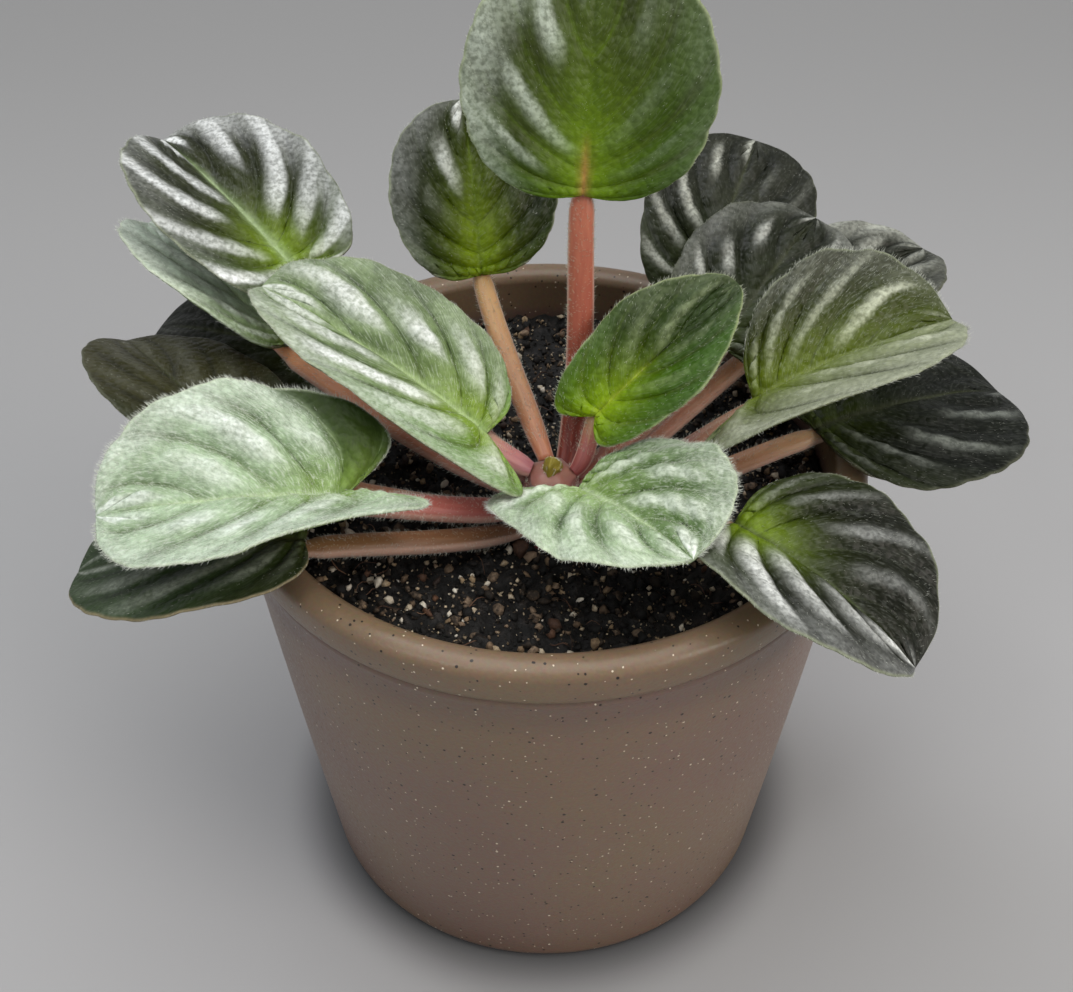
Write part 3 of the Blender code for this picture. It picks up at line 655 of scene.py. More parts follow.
def leafSkin(name, tint):
    # a living gesneriad blade, grown: waxy cells under short white down. The wax gives a satin
    # shine on the quilted crests; along each strip lies the silver of the down with a painted
    # highlight on the strip's lit flank, and beside the veins a painted shade in the hollows
    made, tree, shader = newMaterial(name)
    place = addNode(tree, "TexCoord").outputs["Object"]
    read = {mark: addNode(tree, "Attribute", {"attribute_name": mark}).outputs["Fac"]
            for mark in ("light", "hollowShade", "fresh", "vein", "rib", "glow", "edge", "over", "downy",
                         "grainX", "grainY")}
    # the hairs lie along the side veins: a third of a millimetre across them, 1.6 mm along
    lay = addNode(tree, "CombineXYZ", None, {0: read["grainX"], 1: read["grainY"]})
    streak = addNode(tree, "TexNoise", None, {
        "Vector": lay, "Scale": 1.0, "Detail": 3.0, "Roughness": 0.6})
    cloud = addNode(tree, "TexNoise", None, {"Vector": place, "Scale": 130.0, "Detail": 3.0})
    # frost breaks the silver and the body into grains of a millimetre, pebbles are the raised cells
    frost = addNode(tree, "TexNoise", None, {
        "Vector": place, "Scale": 1000.0, "Detail": 2.0, "Roughness": 0.6})
    pebble = addNode(tree, "TexVoronoi", None, {"Vector": place, "Scale": 640.0})
    # the body is mottled over 8 mm, then each mask lays its own tone over what is there; the
    # hollows' mask is a painted shade, the light mask a painted highlight with the down's silver,
    # the glow mask painted light shining through the blade
    mottle = addNode(tree, "MapRange", None, {
        0: cloud, "From Min": 0.42, "From Max": 0.66, "To Min": 0.0, "To Max": tint["mottle"]})
    colour = addNode(tree, "Mix", ofColours, {0: mottle, 6: tint["mid"], 7: tint["deep"]})
    for mark, amount, noise, least, paint in (
            ("fresh", 1.0, None, 1.0, "green"), ("hollowShade", 0.9, cloud, 0.72, "deep"),
            ("light", 1.0, frost, 0.6, "light"), ("glow", tint["glowAmount"], None, 1.0, "glow"),
            ("vein", tint["veins"], None, 1.0, "vein"), ("rib", 0.85, None, 1.0, "rib"),
            ("edge", 0.7, None, 1.0, "edge")):
        mask = addNode(tree, "Math", times, {0: read[mark], 1: amount})
        if noise:
            part = addNode(tree, "MapRange", None, {
                0: noise, "From Min": 0.36, "From Max": 0.58, "To Min": least, "To Max": 1.0})
            mask = addNode(tree, "Math", times, {0: mask, 1: part})
        colour = addNode(tree, "Mix", ofColours, {0: mask, 6: colour, 7: tint[paint]})
    # strokes of down: the noise's upper quarter, as pale as the hairs
    fleck = addNode(tree, "MapRange", eased, {
        0: streak, "From Min": 0.5, "From Max": 0.68, "To Min": 0.0, "To Max": tint["stroke"]})
    fleck = addNode(tree, "Math", times, {0: fleck, 1: read["downy"]})
    mixed = addNode(tree, "Mix", ofColours, {0: fleck, 6: colour, 7: "#dfe6da"})
    dim = addNode(tree, "MapRange", None, {
        0: streak, "From Min": 0.3, "From Max": 0.5,
        "To Min": 0.95 - 0.4 * tint["stroke"], "To Max": 1.0})
    toned = addNode(tree, "Mix", darkened, {0: 1.0, 6: mixed, 7: dim})
    grain = addNode(tree, "MapRange", None, {
        0: frost, "From Min": 0.3, "From Max": 0.7, "To Min": 0.86, "To Max": 1.14})
    toned = addNode(tree, "Mix", darkened, {0: 1.0, 6: toned, 7: grain})
    below = addNode(tree, "Mix", ofColours, {0: read["over"], 6: tint["under"], 7: toned})
    gloss = addNode(tree, "MapRange", None, {
        0: streak, "From Min": 0.35, "From Max": 0.65,
        "To Min": tint["rough"] - 0.05, "To Max": tint["rough"] + 0.12})
    # soft unevenness of 8 mm, then pebbled cells of 1.6 mm, then the lie of the down
    swell = addNode(tree, "Bump", None, {"Height": cloud, "Strength": 0.5, "Distance": 0.0012})
    swell = addNode(tree, "Bump", {"invert": True}, {
        "Height": pebble, "Strength": 0.45, "Distance": 0.0006, "Normal": swell})
    nap = addNode(tree, "Bump", None, {
        "Height": streak, "Strength": 0.35, "Distance": 0.0002, "Normal": swell})
    fill(tree, shader, {"Base Color": below, "Roughness": gloss, "Normal": nap, "IOR": 1.45,
                        "Specular IOR Level": tint["shine"], "Sheen Weight": tint["sheen"],
                        "Sheen Roughness": 0.35, "Sheen Tint": "#eef4ea"})
    return made


def stalkFlesh(name, tones):
    # a fleshy leaf stalk, grown: reddish sap under a thin clear skin, so it is satin, redder by
    # the crown, where its darker tone is partly a painted shade under the leaves, and greener by
    # the blade, paler along both flanks as a painted sheen, with fine streaks along it
    made, tree, shader = newMaterial(name)
    read = {mark: addNode(tree, "Attribute", {"attribute_name": mark}).outputs["Fac"]
            for mark in ("reach", "roundX", "roundY", "run")}
    around = addNode(tree, "CombineXYZ", None, {
        0: read["roundX"], 1: read["roundY"], 2: read["run"]})
    streak = addNode(tree, "TexNoise", None, {"Vector": around, "Scale": 3.2, "Detail": 5.0})
    level = addNode(tree, "Math", {"operation": "MULTIPLY_ADD"}, {0: streak, 1: 0.7, 2: -0.35})
    level = addNode(tree, "Math", {"operation": "ADD"}, {0: level, 1: read["reach"]})
    tone = addNode(tree, "ValToRGB", {"stops": zip((0.0, 0.5, 1.0), tones)}, {"Fac": level})
    # a painted sheen: the stalk is paler along both flanks
    flankSheen = addNode(tree, "Math", {"operation": "ABSOLUTE"}, {0: read["roundX"]})
    flankSheen = addNode(tree, "MapRange", eased, {
        0: flankSheen, "From Min": 0.8, "From Max": 0.98, "To Min": 0.0, "To Max": 0.6})
    pale = addNode(tree, "Mix", ofColours, {0: flankSheen, 6: tone, 7: "#dcb8a8"})
    bump = addNode(tree, "Bump", None, {"Height": streak, "Strength": 0.4, "Distance": 0.0003})
    fill(tree, shader, {"Base Color": pale, "Roughness": 0.42, "Normal": bump,
                        "Subsurface Weight": 0.25, "Subsurface Radius": (0.004, 0.0015, 0.001),
                        "Subsurface Scale": 1.0, "Sheen Weight": 0.2, "Sheen Roughness": 0.4})
    return made


def hairMaterial(name, colour):
    # leaf hair, grown: clear white threads that catch light from every side
    made, tree, shader = newMaterial(name)
    place = addNode(tree, "TexCoord").outputs["Object"]
    change = addNode(tree, "TexNoise", None, {"Vector": place, "Scale": 300.0, "Detail": 2.0})
    tone = addNode(tree, "Mix", ofColours, {0: change, 6: colour, 7: "#f4f6ee"})
    fill(tree, shader, {"Base Color": tone, "Roughness": 0.45})
    return made


def bladeAxes(leaf):
    # the base, then unit vectors along the midrib, to the left and up from the face, and the length
    along = unit(leaf["tip"] - leaf["base"])
    up = unit(leaf["face"] - along * (leaf["face"] @ along))
    return leaf["base"], along, np.cross(up, along), up, np.linalg.norm(leaf["tip"] - leaf["base"])


def bladeOutline(leaf, share, side):
    # the margin: half a turn from notch (share 0) to tip (share 1), (widest + reach cos, sin^0.85),
    # less the basal lobe, 1.4 sin(pi r) (1 - r)^0.6 with r = share / 0.45, times one blunt tooth
    # for each vein gap and two or three fine ones
    turn = math.pi * (1 - share)
    reach = np.where(np.cos(turn) > 0, 1 - leaf["widest"], leaf["widest"])
    lobe = np.where(side > 0, leaf["lobes"][0], leaf["lobes"][1])
    r = np.clip(share / 0.45, 0, 1)
    back = lobe * 1.4 * np.sin(math.pi * r) * (1 - r) ** 0.6
    tooth = 1 + leafForm["tooth"] * (np.abs(np.sin(math.pi * leafForm["veinGaps"] * share)) - 0.6)
    fine = np.abs(np.sin(math.pi * 2.5 * leafForm["veinGaps"] * share + leaf["phase"]))
    tooth = tooth + leafForm["crenate"] * (fine - 0.6) * np.sin(turn)
    along = leaf["widest"] + reach * np.cos(turn) * tooth - back
    narrow = 1 - leaf["point"] * np.clip(share - 0.55, 0, 1)
    return along, np.sin(turn) ** 0.85 * tooth * narrow


def bladeReach(share, out, marginAlong):
    # how far along the blade a point lies: a side vein leaves the midrib at 0.1 s + 0.9 s^2.8 and
    # sweeps to the margin with out^1.2
    rib = 0.1 * share + 0.9 * share**2.8
    return rib + (marginAlong - rib) * out**1.2


def bladeArch(leaf, share):  # the midrib's bow, a parabola that is 0 at base and tip
    return 4 * leaf["arch"] * share * (1 - share)


def veinShare(share, out):
    # side veins bow towards the tip: the one that leaves the midrib at w is at w + bow out^1.5
    return share - leafForm["bow"] * out**1.5


def bladePoints(leaf, share, side):
    # the leaf's middle sheet. Each half bends on an arc from its fold; on top come the quilting,
    # sqrt(sin^2 + 0.02) between veins, small puckers, a groove on the midrib and a wavy margin
    base, along, left, up, length = bladeAxes(leaf)
    half = leaf["width"] / 2
    marginAlong, marginAcross = bladeOutline(leaf, share, side)
    out = np.abs(side)
    x = bladeReach(share, out, marginAlong)
    q = marginAcross * out
    fold = np.where(side > 0, leaf["fold"][0], leaf["fold"][1])
    spread = np.where(side > 0, leaf["spread"][0], leaf["spread"][1])
    fold = np.radians(fold + (spread - fold) * share)
    bend = math.radians(leaf["curl"])
    across = half * (np.sin(fold + bend * q) - np.sin(fold)) / bend
    lift = half * (np.cos(fold) - np.cos(fold + bend * q)) / bend
    strip = leafForm["veinGaps"] * veinShare(share, out)
    wave = (np.sqrt(np.sin(math.pi * strip) ** 2 + 0.02) - 0.1414) / 0.8686
    swell = np.sin(2.4 * np.floor(strip) + 7 * leaf["phase"] + np.where(side > 0, 0, 1.7))
    belly = np.sin(math.pi * np.clip(out, 0, 0.86) ** 0.8)
    belly = belly * leaf["quilt"] * smoothStep(0.0, 0.14, share) * smoothStep(1.0, 0.88, share)
    lift = lift + leafForm["quilt"] * (wave * (1 + 0.22 * swell) - 0.5) * belly
    # puckers: cross veins every fifth of the half width, bent and offset from gap to gap
    cross = np.sin(2 * math.pi * (5 * out + 0.35 * wave + 0.37 * np.floor(strip) + leaf["phase"]))
    lift = lift + leafForm["pucker"] * cross * wave * belly
    groove = np.exp(-(q * half / 0.0009) ** 2) * smoothStep(1.0, 0.8, share)
    lift = lift - leafForm["ribGroove"] * groove
    ripple = np.sin(2 * math.pi * (3.2 * share + leaf["phase"]) + np.where(side > 0, 0.0, 2.1))
    lift = lift + leafForm["ripple"] * ripple * out**4 * np.sin(math.pi * share) ** 2
    lift = lift + bladeArch(leaf, x)
    return (base + np.multiply.outer(x * length, along)
            + np.multiply.outer(np.sign(side) * across, left) + np.multiply.outer(lift, up))


def bladeSlopes(leaf, share, side):
    # the sheet's unit normal and how much area a small step of (share, side) covers
    s = np.clip(share, 0.02, 0.98)
    v = np.where(np.abs(side) < 0.02, 0.0, side)
    byShare = (bladePoints(leaf, s + 1e-3, v) - bladePoints(leaf, s - 1e-3, v)) / 2e-3
    bySide = (bladePoints(leaf, s, v + 0.02) - bladePoints(leaf, s, v - 0.02)) / 0.04
    normal = np.cross(byShare, bySide)
    area = np.linalg.norm(normal, axis=-1)
    return normal / area[..., None], area, np.linalg.norm(byShare, axis=-1)


def bladeMarks(leaf, share, side, speed):
    # masks for the colours, from 0 to 1: the hollows' painted shade and vein fall off with the
    # square of the distance to the nearest side vein, rib, glow (painted light through the blade)
    # and edge with the distance to their own line; light is a band along each strip, the down's
    # silver with a painted highlight, a quick rise and a slow fall over the strip's own width f, of
    # its own length and strength, or the bloom that follows the margin; fresh ends along a side
    # vein
    tint, gaps = leaf["tint"], leafForm["veinGaps"]
    _, along, _, _, length = bladeAxes(leaf)
    half, left = leaf["width"] / 2, side > 0
    marginAlong, marginAcross = bladeOutline(leaf, share, side)
    out = np.abs(side)
    x = bladeReach(share, out, marginAlong)
    across = marginAcross * out * half
    label = veinShare(share, out)
    strip = gaps * label + 2
    number = strip.astype(int)
    away = np.abs(strip - np.round(strip)) / gaps * speed
    inner = smoothStep(0.03, 0.12, share) * smoothStep(0.99, 0.9, share)
    inner = inner * smoothStep(0.0, 0.12, out)
    vein = np.exp(-(away / 0.00035) ** 2) * inner * smoothStep(1.0, 0.7, out)
    # the hollows by each side vein take the deep tone as a painted shade
    hollowShade = np.exp(-(away / 0.0015) ** 2) * inner * (1 - 0.5 * smoothStep(0.7, 1.0, out))
    chance = np.random.default_rng(int(leaf["phase"] * 1000) + 3)
    strong, begin, stop, shift = (
        chance.uniform(low, high, (2, gaps + 3))[left.astype(int), number]
        for low, high in ((0.5, 1.1), (0.0, 0.35), (0.7, 1.2), (-0.08, 0.08)))
    bend = shift + 0.05 * np.sin(2 * math.pi * (1.3 * out + leaf["phase"] + 0.4 * number))
    f = (strip - number - 0.5 - bend) / np.where(left, *tint["band"])
    # the silver band is turned to the flank of its strip on the window's side of the leaf: a
    # painted highlight
    f = f * np.where(along[0] > 0, -1, 1)
    light = smoothStep(-0.28, -0.14, f) * smoothStep(0.34, -0.05, f)
    light = light * smoothStep(begin, begin + 0.22, out)
    light = light * (1 - tint["thin"] * smoothStep(0.6, 1.0, out))
    light = light * (1 - min(1, 3 * tint["thin"]) * smoothStep(stop - 0.35, stop, out))
    light = light * np.where(left, *tint["silver"]) * strong * smoothStep(0.02, 0.12, share)
    light = light * smoothStep(*tint["silverFrom"], share)
    patchy = 0.8 + 0.2 * np.sin(2 * math.pi * gaps * label)
    bloom = np.where(left, *tint["bloom"]) * smoothStep(0.6, 0.95, out) * patchy
    light = np.maximum(light, bloom * smoothStep(0.1, 0.35, share))
    ribMask = np.exp(-(across / (tint["ribWide"] * (1 - 0.6 * x))) ** 2)
    ribMask = ribMask * smoothStep(tint["ribTo"], tint["ribTo"] - 0.22, x)
    # the glow is painted light shining through the blade, round the stalk's end and along the veins
    # by it
    fromStalk = np.hypot(np.maximum(x - 0.05, 0) * length * tint["glowAlong"], across)
    glow = np.exp(-(fromStalk / tint["glowSize"]) ** 1.6)
    byVein = np.exp(-(away / tint["glowVein"]) ** 2 - (fromStalk / tint["glowSize"] / 1.5) ** 2)
    glow = np.maximum(glow, 0.8 * byVein)
    fresh = smoothStep(*(np.where(left, *pair) for pair in zip(*tint["fresh"])), label)
    downy = 1 - tint["dull"] * fresh
    return {"light": np.minimum(light, 1) * downy, "hollowShade": hollowShade, "vein": vein,
            "rib": ribMask, "glow": glow, "fresh": fresh, "downy": downy,
            "edge": smoothStep(0.97, 1.0, out), "grainX": label * length * 2900,
            "grainY": side * half * 620}


def makeBlade(name, leaf, skin, nodes=(), slot="blade"):
    rows = leaf.get("rows", leafForm["rows"])
    u = np.linspace(0, 1, leafForm["columns"])[1:]
    rounded = leafForm["rounded"]
    half = np.concatenate([rounded * u**0.9, [0.968, 0.98, 0.99, 0.997, 1.0]])
    sides = np.concatenate([-half[::-1], [0], half])
    shares = (np.arange(rows) + 0.5) / rows
    share, side = np.meshgrid(shares, sides, indexing="ij")
    middle = bladePoints(leaf, share, side)
    normal, _, speed = bladeSlopes(leaf, share, side)
    # thickness eases from the middle to the margin, which is rounded off as a quarter circle
    thick = leafForm["edgeThick"] + (leafForm["thick"] - leafForm["edgeThick"]) * (1 - side**2)
    thick = thick * np.sqrt(1 - np.clip((np.abs(side) - rounded) / (1 - rounded), 0, 1) ** 2)
    thick = thick * leaf.get("scale", 1)
    over = middle + normal * thick[..., None] / 2
    under = middle - normal * thick[..., None] / 2
    rings = np.concatenate([over, under[:, -2:0:-1]], axis=1)
    ends = bladePoints(leaf, np.array([0.0, 1.0]), np.array([0.0, 0.0]))
    points, faces = closedBody(rings, ends[0], ends[1])
    # both faces have the same marks, but for "over", which is 1 above and 0 below
    marks = {**bladeMarks(leaf, share, side, speed), "over": np.ones_like(share)}
    for key, value in marks.items():
        whole = np.concatenate([value, value[:, -2:0:-1] * (key != "over")], axis=1).ravel()
        marks[key] = np.concatenate([whole, [value[0, len(half)], value[-1, len(half)]]])
    makePiece(name, points, faces, skin, slot, nodes, marks)


def stalkLine(leaf):
    # a cubic curve from the crown to the blade, (1-t)^3 a + 3(1-t)^2 t b + 3(1-t) t^2 c + t^3 d,
    # then on under the blade as its midrib; with half width and half depth at each point
    base, along, _, up, length = bladeAxes(leaf)
    turn = math.radians(leaf["azimuth"])
    out = np.array([math.cos(turn), math.sin(turn), 0.0])
    height = leafForm["firstWhorl"] + leafForm["whorlStep"] * leaf["whorl"]
    share = np.clip((height - leaf["stalk"] / 2 - soil["top"]) / (crown["top"] - soil["top"]), 0, 1)
    clear = crown["radius"] + (crown["tipRadius"] - crown["radius"]) * share - 0.0008
    start = np.array([crown["x"], crown["y"], height]) + out * clear
    ribRadius, under = leafForm["ribRadius"], leafForm["thick"] / 2 + 0.0001
    end = base - up * (under + ribRadius * 1.3)
    reach = np.linalg.norm(end - start)
    chord = unit(end - start)
    first = start + unit(out * 0.8 + chord) * reach * 0.35
    second = end - unit(along * 0.7 + chord) * reach * 0.3
    t = np.linspace(0, 1, 44)[:, None]
    curve = ((1 - t) ** 3 * start + 3 * (1 - t) ** 2 * t * first
             + 3 * (1 - t) * t**2 * second + t**3 * end)
    t = t[:, 0]
    wide = leaf["stalk"] / 2 * (1 - 0.3 * np.exp(-(t / 0.14) ** 1.5) - 0.12 * t**3)
    deep = wide * leafForm["stalkDepth"]
    ease = smoothStep(0.93, 1.0, t)
    wide, deep = (v + (ribRadius * 1.3 - v) * ease for v in (wide, deep))
    rib = np.linspace(0, leafForm["ribShare"], 16)[1:]
    size = ribRadius * (1.3 - rib)
    line = (base + np.multiply.outer(rib * length, along)
            + np.multiply.outer(bladeArch(leaf, rib) - under - size, up))
    return (np.concatenate([curve, line]), np.concatenate([wide, size]),
            np.concatenate([deep, size]), up, len(curve))


def makeStalk(name, leaf, flesh, nodes):
    path, wide, deep, up, count = stalkLine(leaf)
    tangent = unit(np.gradient(path, axis=0))
    side = unit(np.cross(tangent, up))
    top = np.cross(side, tangent)
    turn = wholeTurn(leafForm["stalkSides"])
    # an ellipse with a shallow channel along its upper side
    channel = 1 - leafForm["channel"] * np.exp(-((turn - math.pi / 2) / 0.5) ** 2)
    ring = (side[:, None] * (wide[:, None] * np.cos(turn) * channel)[..., None]
            + top[:, None] * (deep[:, None] * np.sin(turn) * channel)[..., None])
    rings = path[:, None] + ring
    points, faces = closedBody(rings, path[0], path[-1])
    run = runAlong(path)
    reach = np.clip(run / run[count - 1], 0, 1)
    grid = np.ones((len(path), len(turn)))
    marks = {"reach": reach[:, None] * grid, "run": run[:, None] * grid * 60,
             "roundX": np.cos(turn) * grid, "roundY": np.sin(turn) * grid}
    makePiece(name, points, faces, flesh, "stalk", nodes, withEnds(marks))
    return rings[:count], unit(ring[:count]), tangent[:count]


def spikes(roots, heading, lengths, widths, sag):
    # hairs as closed pointed tubes of three sides: root, a knee at 55 % and the tip, which leans
    # towards sag; ten faces each
    lean = unit(np.cross(heading, unit(np.cross(heading, sag))))
    ring = ringRound(heading, unit(np.cross(heading, (0.3, 0.5, 0.81))), 3)
    long = lengths[:, None]
    knee = roots + heading * long * 0.55 - lean * long * 0.08
    tip = roots + heading * long - lean * long * 0.28
    foot = roots - heading * 0.00012
    points = np.concatenate([foot[:, None] + ring * widths[:, None, None] / 2,
                             knee[:, None] + ring * widths[:, None, None] * 0.34,
                             tip[:, None]], 1)
    faces = np.array([(0, 2, 1), (0, 1, 4), (0, 4, 3), (1, 2, 5), (1, 5, 4), (2, 0, 3), (2, 3, 5),
                      (3, 4, 6), (4, 5, 6), (5, 3, 6)])
    return points.reshape(-1, 3), [repeated(faces, len(roots), 7)]


def bristles(roots, heading, lengths, widths):
    # the shortest down: straight three-sided needles, four faces each
    ring = ringRound(heading, unit(np.cross(heading, (0.3, 0.5, 0.81))), 3)
    points = np.concatenate([(roots - heading * 0.0001)[:, None] + ring * widths[:, None, None] / 2,
                             (roots + heading * lengths[:, None])[:, None]], 1)
    faces = np.array([(0, 2, 1), (0, 1, 3), (1, 2, 3), (2, 0, 3)])
    return points.reshape(-1, 3), [repeated(faces, len(roots), 4)]


hairForm = {"width": 0.00009, "fringeGap": 0.00016, "stalkPerMm": 1.6, "stalkLength": 0.0009}


def bladeHairs(leaf, chance):
    # the down: roots drawn by area over the upper face, leaning towards the tip and the margin;
    # the fringe: loose rows round the margin, pointing out
    tint = leaf["tint"]
    _, along, left, up, _ = bladeAxes(leaf)
    share, side = np.meshgrid(np.linspace(0.03, 0.97, 48), np.linspace(-0.96, 0.96, 40),
                              indexing="ij")
    _, area, speed = bladeSlopes(leaf, share, side)
    area = area * bladeMarks(leaf, share, side, speed)["downy"]
    # in square millimetres, where side runs over 2 and share over 0.9
    total = area.mean() * 1e6 * 2 * 0.9
    count = int(total * tint["hairs"])
    pick = chance.choice(area.size, count, p=area.ravel() / area.sum())
    s = np.clip(share.ravel()[pick] + chance.uniform(-0.011, 0.011, count), 0.02, 0.98)
    v = np.clip(side.ravel()[pick] + chance.uniform(-0.026, 0.026, count), -0.97, 0.97)
    normal, _, _ = bladeSlopes(leaf, s, v)
    roots = bladePoints(leaf, s, v) + normal * leafForm["thick"] * 0.42
    heading = unit(normal * 0.55 + along * 0.8 + left * v[:, None] * 0.7
                   + chance.normal(0, 0.25, (count, 3)))
    lengths = tint["down"] * chance.uniform(0.55, 1.25, count)
    parts = [bristles(roots, heading, lengths, np.full(count, hairForm["width"] * 0.6))]
    for sign in (-1.0, 1.0):
        t = np.linspace(0.01, 0.99, 400)
        margin = bladePoints(leaf, t, np.full(400, sign))
        run = runAlong(margin)
        count = int(run[-1] / hairForm["fringeGap"] * (0.7 + tint["hairs"] * 0.35))
        s = np.interp(chance.uniform(0, run[-1], count), run, t)
        v = sign * (1 - chance.random(count) ** 2 * 0.05)
        root = bladePoints(leaf, s, v)
        inner = bladePoints(leaf, s, v * 0.93)
        normal, _, _ = bladeSlopes(leaf, s, v)
        heading = unit(unit(root - inner) + normal * chance.normal(0.15, 0.45, (count, 1))
                       + along * 0.3 + chance.normal(0, 0.25, (count, 3)))
        lengths = tint["fringe"] * chance.uniform(0.45, 1.15, count)
        parts.append(spikes(root - heading * 0.0002, heading, lengths,
                            np.full(count, hairForm["width"] * 0.9), up))
    return parts


def stalkHairs(rings, outward, tangent, chance):
    # hairs all round the stalk, roots drawn evenly along it, standing out and leaning forward
    run = runAlong(rings.mean(1))
    girth = 2 * math.pi * np.linalg.norm(rings[20] - rings[20].mean(0), axis=1).mean()
    count = int(run[-1] * girth * 1e6 * hairForm["stalkPerMm"])
    row = np.interp(chance.uniform(0.004, run[-1], count), run, np.arange(len(rings)))
    low = np.minimum(row.astype(int), len(rings) - 2)
    part = (row - low)[:, None]
    column = chance.integers(0, rings.shape[1], count)
    root = rings[low, column] * (1 - part) + rings[low + 1, column] * part
    other = rings[low, column - 1] * (1 - part) + rings[low + 1, column - 1] * part
    mix = chance.random((count, 1))
    root = root * mix + other * (1 - mix)
    heading = unit(outward[low, column] + tangent[low] * 0.35 + chance.normal(0, 0.3, (count, 3)))
    lengths = hairForm["stalkLength"] * chance.uniform(0.4, 1.15, count)
    return spikes(root, heading, lengths, np.full(count, hairForm["width"] * 0.75), tangent[low])


hairs = {"dark": "#7f8372", "mature": "#a3aa94", "lit": "#a9b48e", "young": "#bcc6a0",
         "mint": "#e2eadb"}
hairMaterials = {key: hairMaterial("leaf_hair_" + key, colour) for key, colour in hairs.items()}

for number, (name, leaf) in enumerate(leaves.items()):
    leaf["phase"] = (number * 0.618) % 1
    chance = np.random.default_rng(100 + number)
    makeBlade("leaf_" + name, leaf, leafSkin("leaf_blade_" + name, leaf["tint"]), ["blade_" + name])
    flesh = stalkFlesh("stalk_flesh_" + name, leaf["flesh"])
    body = makeStalk("petiole_" + name, leaf, flesh, ["stalk_" + name])
    parts = bladeHairs(leaf, chance) + [stalkHairs(*body, chance)]
    makePiece("hairs_" + name, *joined(parts), hairMaterials[leaf["skin"]], "blade")
print("leaves done:", len(leaves))


def makeCrown():
    # a short cone that swells where stalks leave it: times 1 + swell sin(knobs a + twist z)
    flesh = stalkFlesh("crown_flesh", crown["tones"])
    sides = 48
    turn = wholeTurn(sides)
    heights = np.concatenate([[crown["foot"], crown["foot"] + 0.003],
                              np.linspace(soil["top"] - 0.004, crown["top"] - 0.0012, 22)])
    share = np.clip((heights - soil["top"]) / (crown["top"] - soil["top"]), 0, 1)
    radius = crown["radius"] + (crown["tipRadius"] - crown["radius"]) * share
    radius[:2] *= (0.7, 0.9)
    knob = np.sin(crown["knobs"] * turn + heights[:, None] * crown["twist"])
    r = radius[:, None] * (1 + crown["swell"] * knob * smoothStep(0, 0.2, share)[:, None])
    rings = np.stack([crown["x"] + r * np.cos(turn), crown["y"] + r * np.sin(turn),
                      np.broadcast_to(heights[:, None], r.shape)], -1)
    cap = rings[-1] * 0.5 + np.array([crown["x"], crown["y"], crown["top"] + 0.0004]) * 0.5
    rings = np.concatenate([rings, cap[None]])
    points, faces = closedBody(rings, (crown["x"], crown["y"], crown["foot"]),
                               (crown["x"], crown["y"], crown["top"] + 0.0002))
    reach = (points[:, 2] - soil["top"]) / (crown["top"] - soil["top"])
    marks = {"reach": np.clip(reach, 0, 1), "run": points[:, 2] * 60,
             "roundX": (points[:, 0] - crown["x"]) * 120,
             "roundY": (points[:, 1] - crown["y"]) * 120}
    makePiece("crown_stem", points, faces, flesh, "crown", ["crown"], marks)
    # short white hairs stand all over its upper part
    chance = np.random.default_rng(61)
    count = crown["hairs"]
    row = chance.integers(14, len(rings) - 2, count)
    outward = unit(rings[row, chance.integers(0, sides, count)]
                   - np.array([crown["x"], crown["y"], 0.105]))
    reachOut = np.linalg.norm(rings[row, 0] - rings[row].mean(1), axis=1)
    level = outward * (1, 1, 0) / np.hypot(*outward[:, :2].T)[:, None]
    root = rings[row].mean(1) + level * reachOut[:, None]
    hairsUp = bristles(root, unit(outward + chance.normal(0, 0.3, (count, 3))),
                       chance.uniform(0.0004, 0.0011, count), np.full(count, hairForm["width"]))
    makePiece("hairs_crown", *hairsUp, hairMaterials["young"], "crown")


stub = {"start": (0.0030, -0.0205, 0.1085), "run": (-0.0008, -0.0052, -0.0078), "sides": 16,
        "radius": 0.0019, "tones": ("#8f5a58", "#b8908a", "#d0b4ac")}


def makeStub():
    # a short pink stalk end by the crown, set in the soil: a tube with a rounded tip that bends
    # down with t^1.4
    sides = stub["sides"]
    t = np.linspace(0, 1, sides)
    path = np.array(stub["start"]) + np.stack([t, t, t**1.4], 1) * stub["run"]
    radius = stub["radius"] * np.sqrt(1 - np.clip((t - 0.8) / 0.2, 0, 0.98) ** 2)
    tangent = unit(np.gradient(path, axis=0))
    ring = ringRound(tangent, unit(np.cross(tangent, (1.0, 0.1, 0.0))), sides)
    points, faces = closedBody(path[:, None] + ring * radius[:, None, None], path[0], path[-1])
    turn, grid = wholeTurn(sides), np.ones((sides, sides))
    marks = {"reach": t[:, None] * grid, "run": path[:, 2:] * grid * 60,
             "roundX": np.cos(turn) * grid, "roundY": np.sin(turn) * grid}
    flesh = stalkFlesh("stub_flesh", stub["tones"])
    makePiece("crown_stub", points, faces, flesh, "crown", (), withEnds(marks))


buds = {
    "stands": ((250, 0.0040), (20, 0.0034), (135, 0.0038)),  # each one's azimuth and height
    "out": 0.0017, "lean": 0.0015, "sunk": 0.0012, "width": 0.0046, "thin": 0.5, "rows": 30,
    "form": {"fold": (50, 50), "spread": (45, 45), "lobes": (0.05, 0.05), "arch": -0.0005,
             "quilt": 0.1, "mid": "#6f6c22", "green": "#7a7826", "glow": "#8a6a34",
             "deep": "#55521a", "light": "#9a9a58", "rib": "#8a7a3a", "edge": "#a88a68",
             "under": "#8a7c30", "hairs": 6.0, "down": 0.0006, "fringe": 0.0007},
}


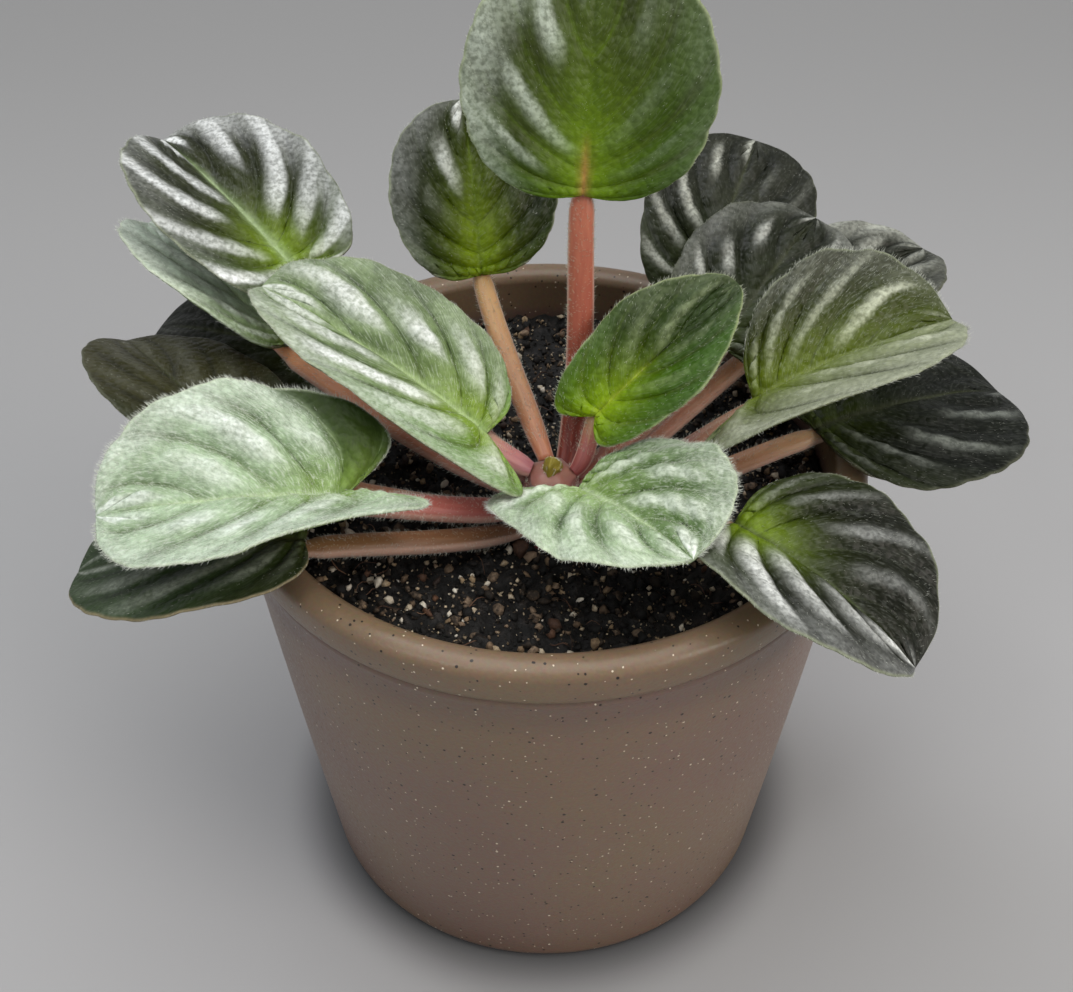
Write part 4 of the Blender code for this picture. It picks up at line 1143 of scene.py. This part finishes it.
def makeBuds():
    # the youngest leaves, folded up at the growing point: the same blade made small
    for number, (turn, high) in enumerate(buds["stands"]):
        out = np.array([math.cos(math.radians(turn)), math.sin(math.radians(turn)), 0.0])
        base = np.array([crown["x"], crown["y"], crown["top"] - buds["sunk"]]) + out * buds["out"]
        bud = leafOf("young", 0, turn, base, base - out * buds["lean"] + (0, 0, high),
                     buds["width"], unit(np.array([0, 0, 0.3]) - out), **buds["form"])
        bud.update({"phase": 0.3 * number, "scale": buds["thin"], "rows": buds["rows"]})
        skin = leafSkin("bud_blade_%d" % number, bud["tint"])
        makeBlade("bud_%d" % number, bud, skin, (), "crown")
        down = bladeHairs(bud, np.random.default_rng(70 + number))
        makePiece("hairs_bud_%d" % number, *joined(down), hairMaterials["young"], "crown")


makeCrown()
makeStub()
makeBuds()
print("crown done")


studio = {
    "floor": "#aaaaab", "far": "#949494", "haze": "#f8f8f8", "foot": "#444445",
    "reach": 12.0,  # half the floor's side
    "sky": "#dfe1e4", "skyPower": 0.5,
    # each soft light: where it stands, what it looks at, its width, power in watts and colour
    "lights": {
        "window": ((-1.1, 1.2, 2.3), (0, 0, 0.12), 1.1, 16.0, "#f6f8ff"),
        "ceiling": ((0.1, -0.1, 1.5), (0, 0, 0.08), 1.5, 11.5, "#fffdf8"),
        "side_fill": ((1.3, -0.8, 0.9), (0, 0, 0.08), 1.0, 11.0, "#fff6ee"),
        "front_spot": ((-0.45, -0.55, 0.9), (0, -0.03, 0.1), 0.22, 1.1, "#ffffff"),
    },
}


def paperFloor():
    # matte paper backdrop: no shine, a little darker away from the front, with a soft shade that
    # hugs the foot of the pot; far out it pales until it meets the sky
    made, tree, shader = newMaterial("paper_backdrop_matte")
    place = addNode(tree, "TexCoord").outputs["Object"]
    parts = addNode(tree, "SeparateXYZ", None, {0: place})
    depth = addNode(tree, "MapRange", eased, {
        0: parts.outputs["Y"], "From Min": 0.0, "From Max": 0.5})
    tone = addNode(tree, "Mix", ofColours, {0: depth, 6: studio["floor"], 7: studio["far"]})
    out = addNode(tree, "VectorMath", {"operation": "LENGTH"}, {0: place})
    near = addNode(tree, "MapRange", {"interpolation_type": "SMOOTHERSTEP"}, {
        0: out, "From Min": pot["baseRadius"] - 0.006,
        "From Max": pot["baseRadius"] + 0.016, "To Min": 0.9, "To Max": 0.0})
    beyond = addNode(tree, "MapRange", eased, {0: out, "From Min": 0.9, "From Max": 4.2})
    tone = addNode(tree, "Mix", ofColours, {0: beyond, 6: tone, 7: studio["haze"]})
    shade = addNode(tree, "Mix", ofColours, {0: near, 6: tone, 7: studio["foot"]})
    fill(tree, shader, {"Base Color": shade, "Roughness": 0.9, "Specular IOR Level": 0.1})
    return made


corners = np.array([(-1, -1, 0), (1, -1, 0), (1, 1, 0), (-1, 1, 0)]) * studio["reach"]
floor = makePiece("floor", corners, [np.array([[0, 1, 2, 3]])], paperFloor())


def softLight(name, place, aim, width, power, colour):
    # a round area light whose back points away from what it looks at
    data = bpy.data.lights.new(name, "AREA")
    data.shape, data.size, data.energy = "DISK", width, power
    data.color = hexColour(colour)[:3]
    lamp = bpy.data.objects.new(name, data)
    lamp.location = place
    back = unit(np.array(place, float) - np.array(aim, float))
    lamp.rotation_euler = (math.acos(back[2]), 0, math.atan2(back[1], back[0]) + math.pi / 2)
    bpy.context.scene.collection.objects.link(lamp)


for name, light in studio["lights"].items():
    softLight(name, *light)
world = bpy.data.worlds.new("studio")
world.use_nodes = True
fill(world.node_tree, world.node_tree.nodes["Background"], {
    "Color": studio["sky"], "Strength": studio["skyPower"]})
bpy.context.scene.world = world
bpy.context.scene.view_settings.view_transform = "Standard"
print("light done")
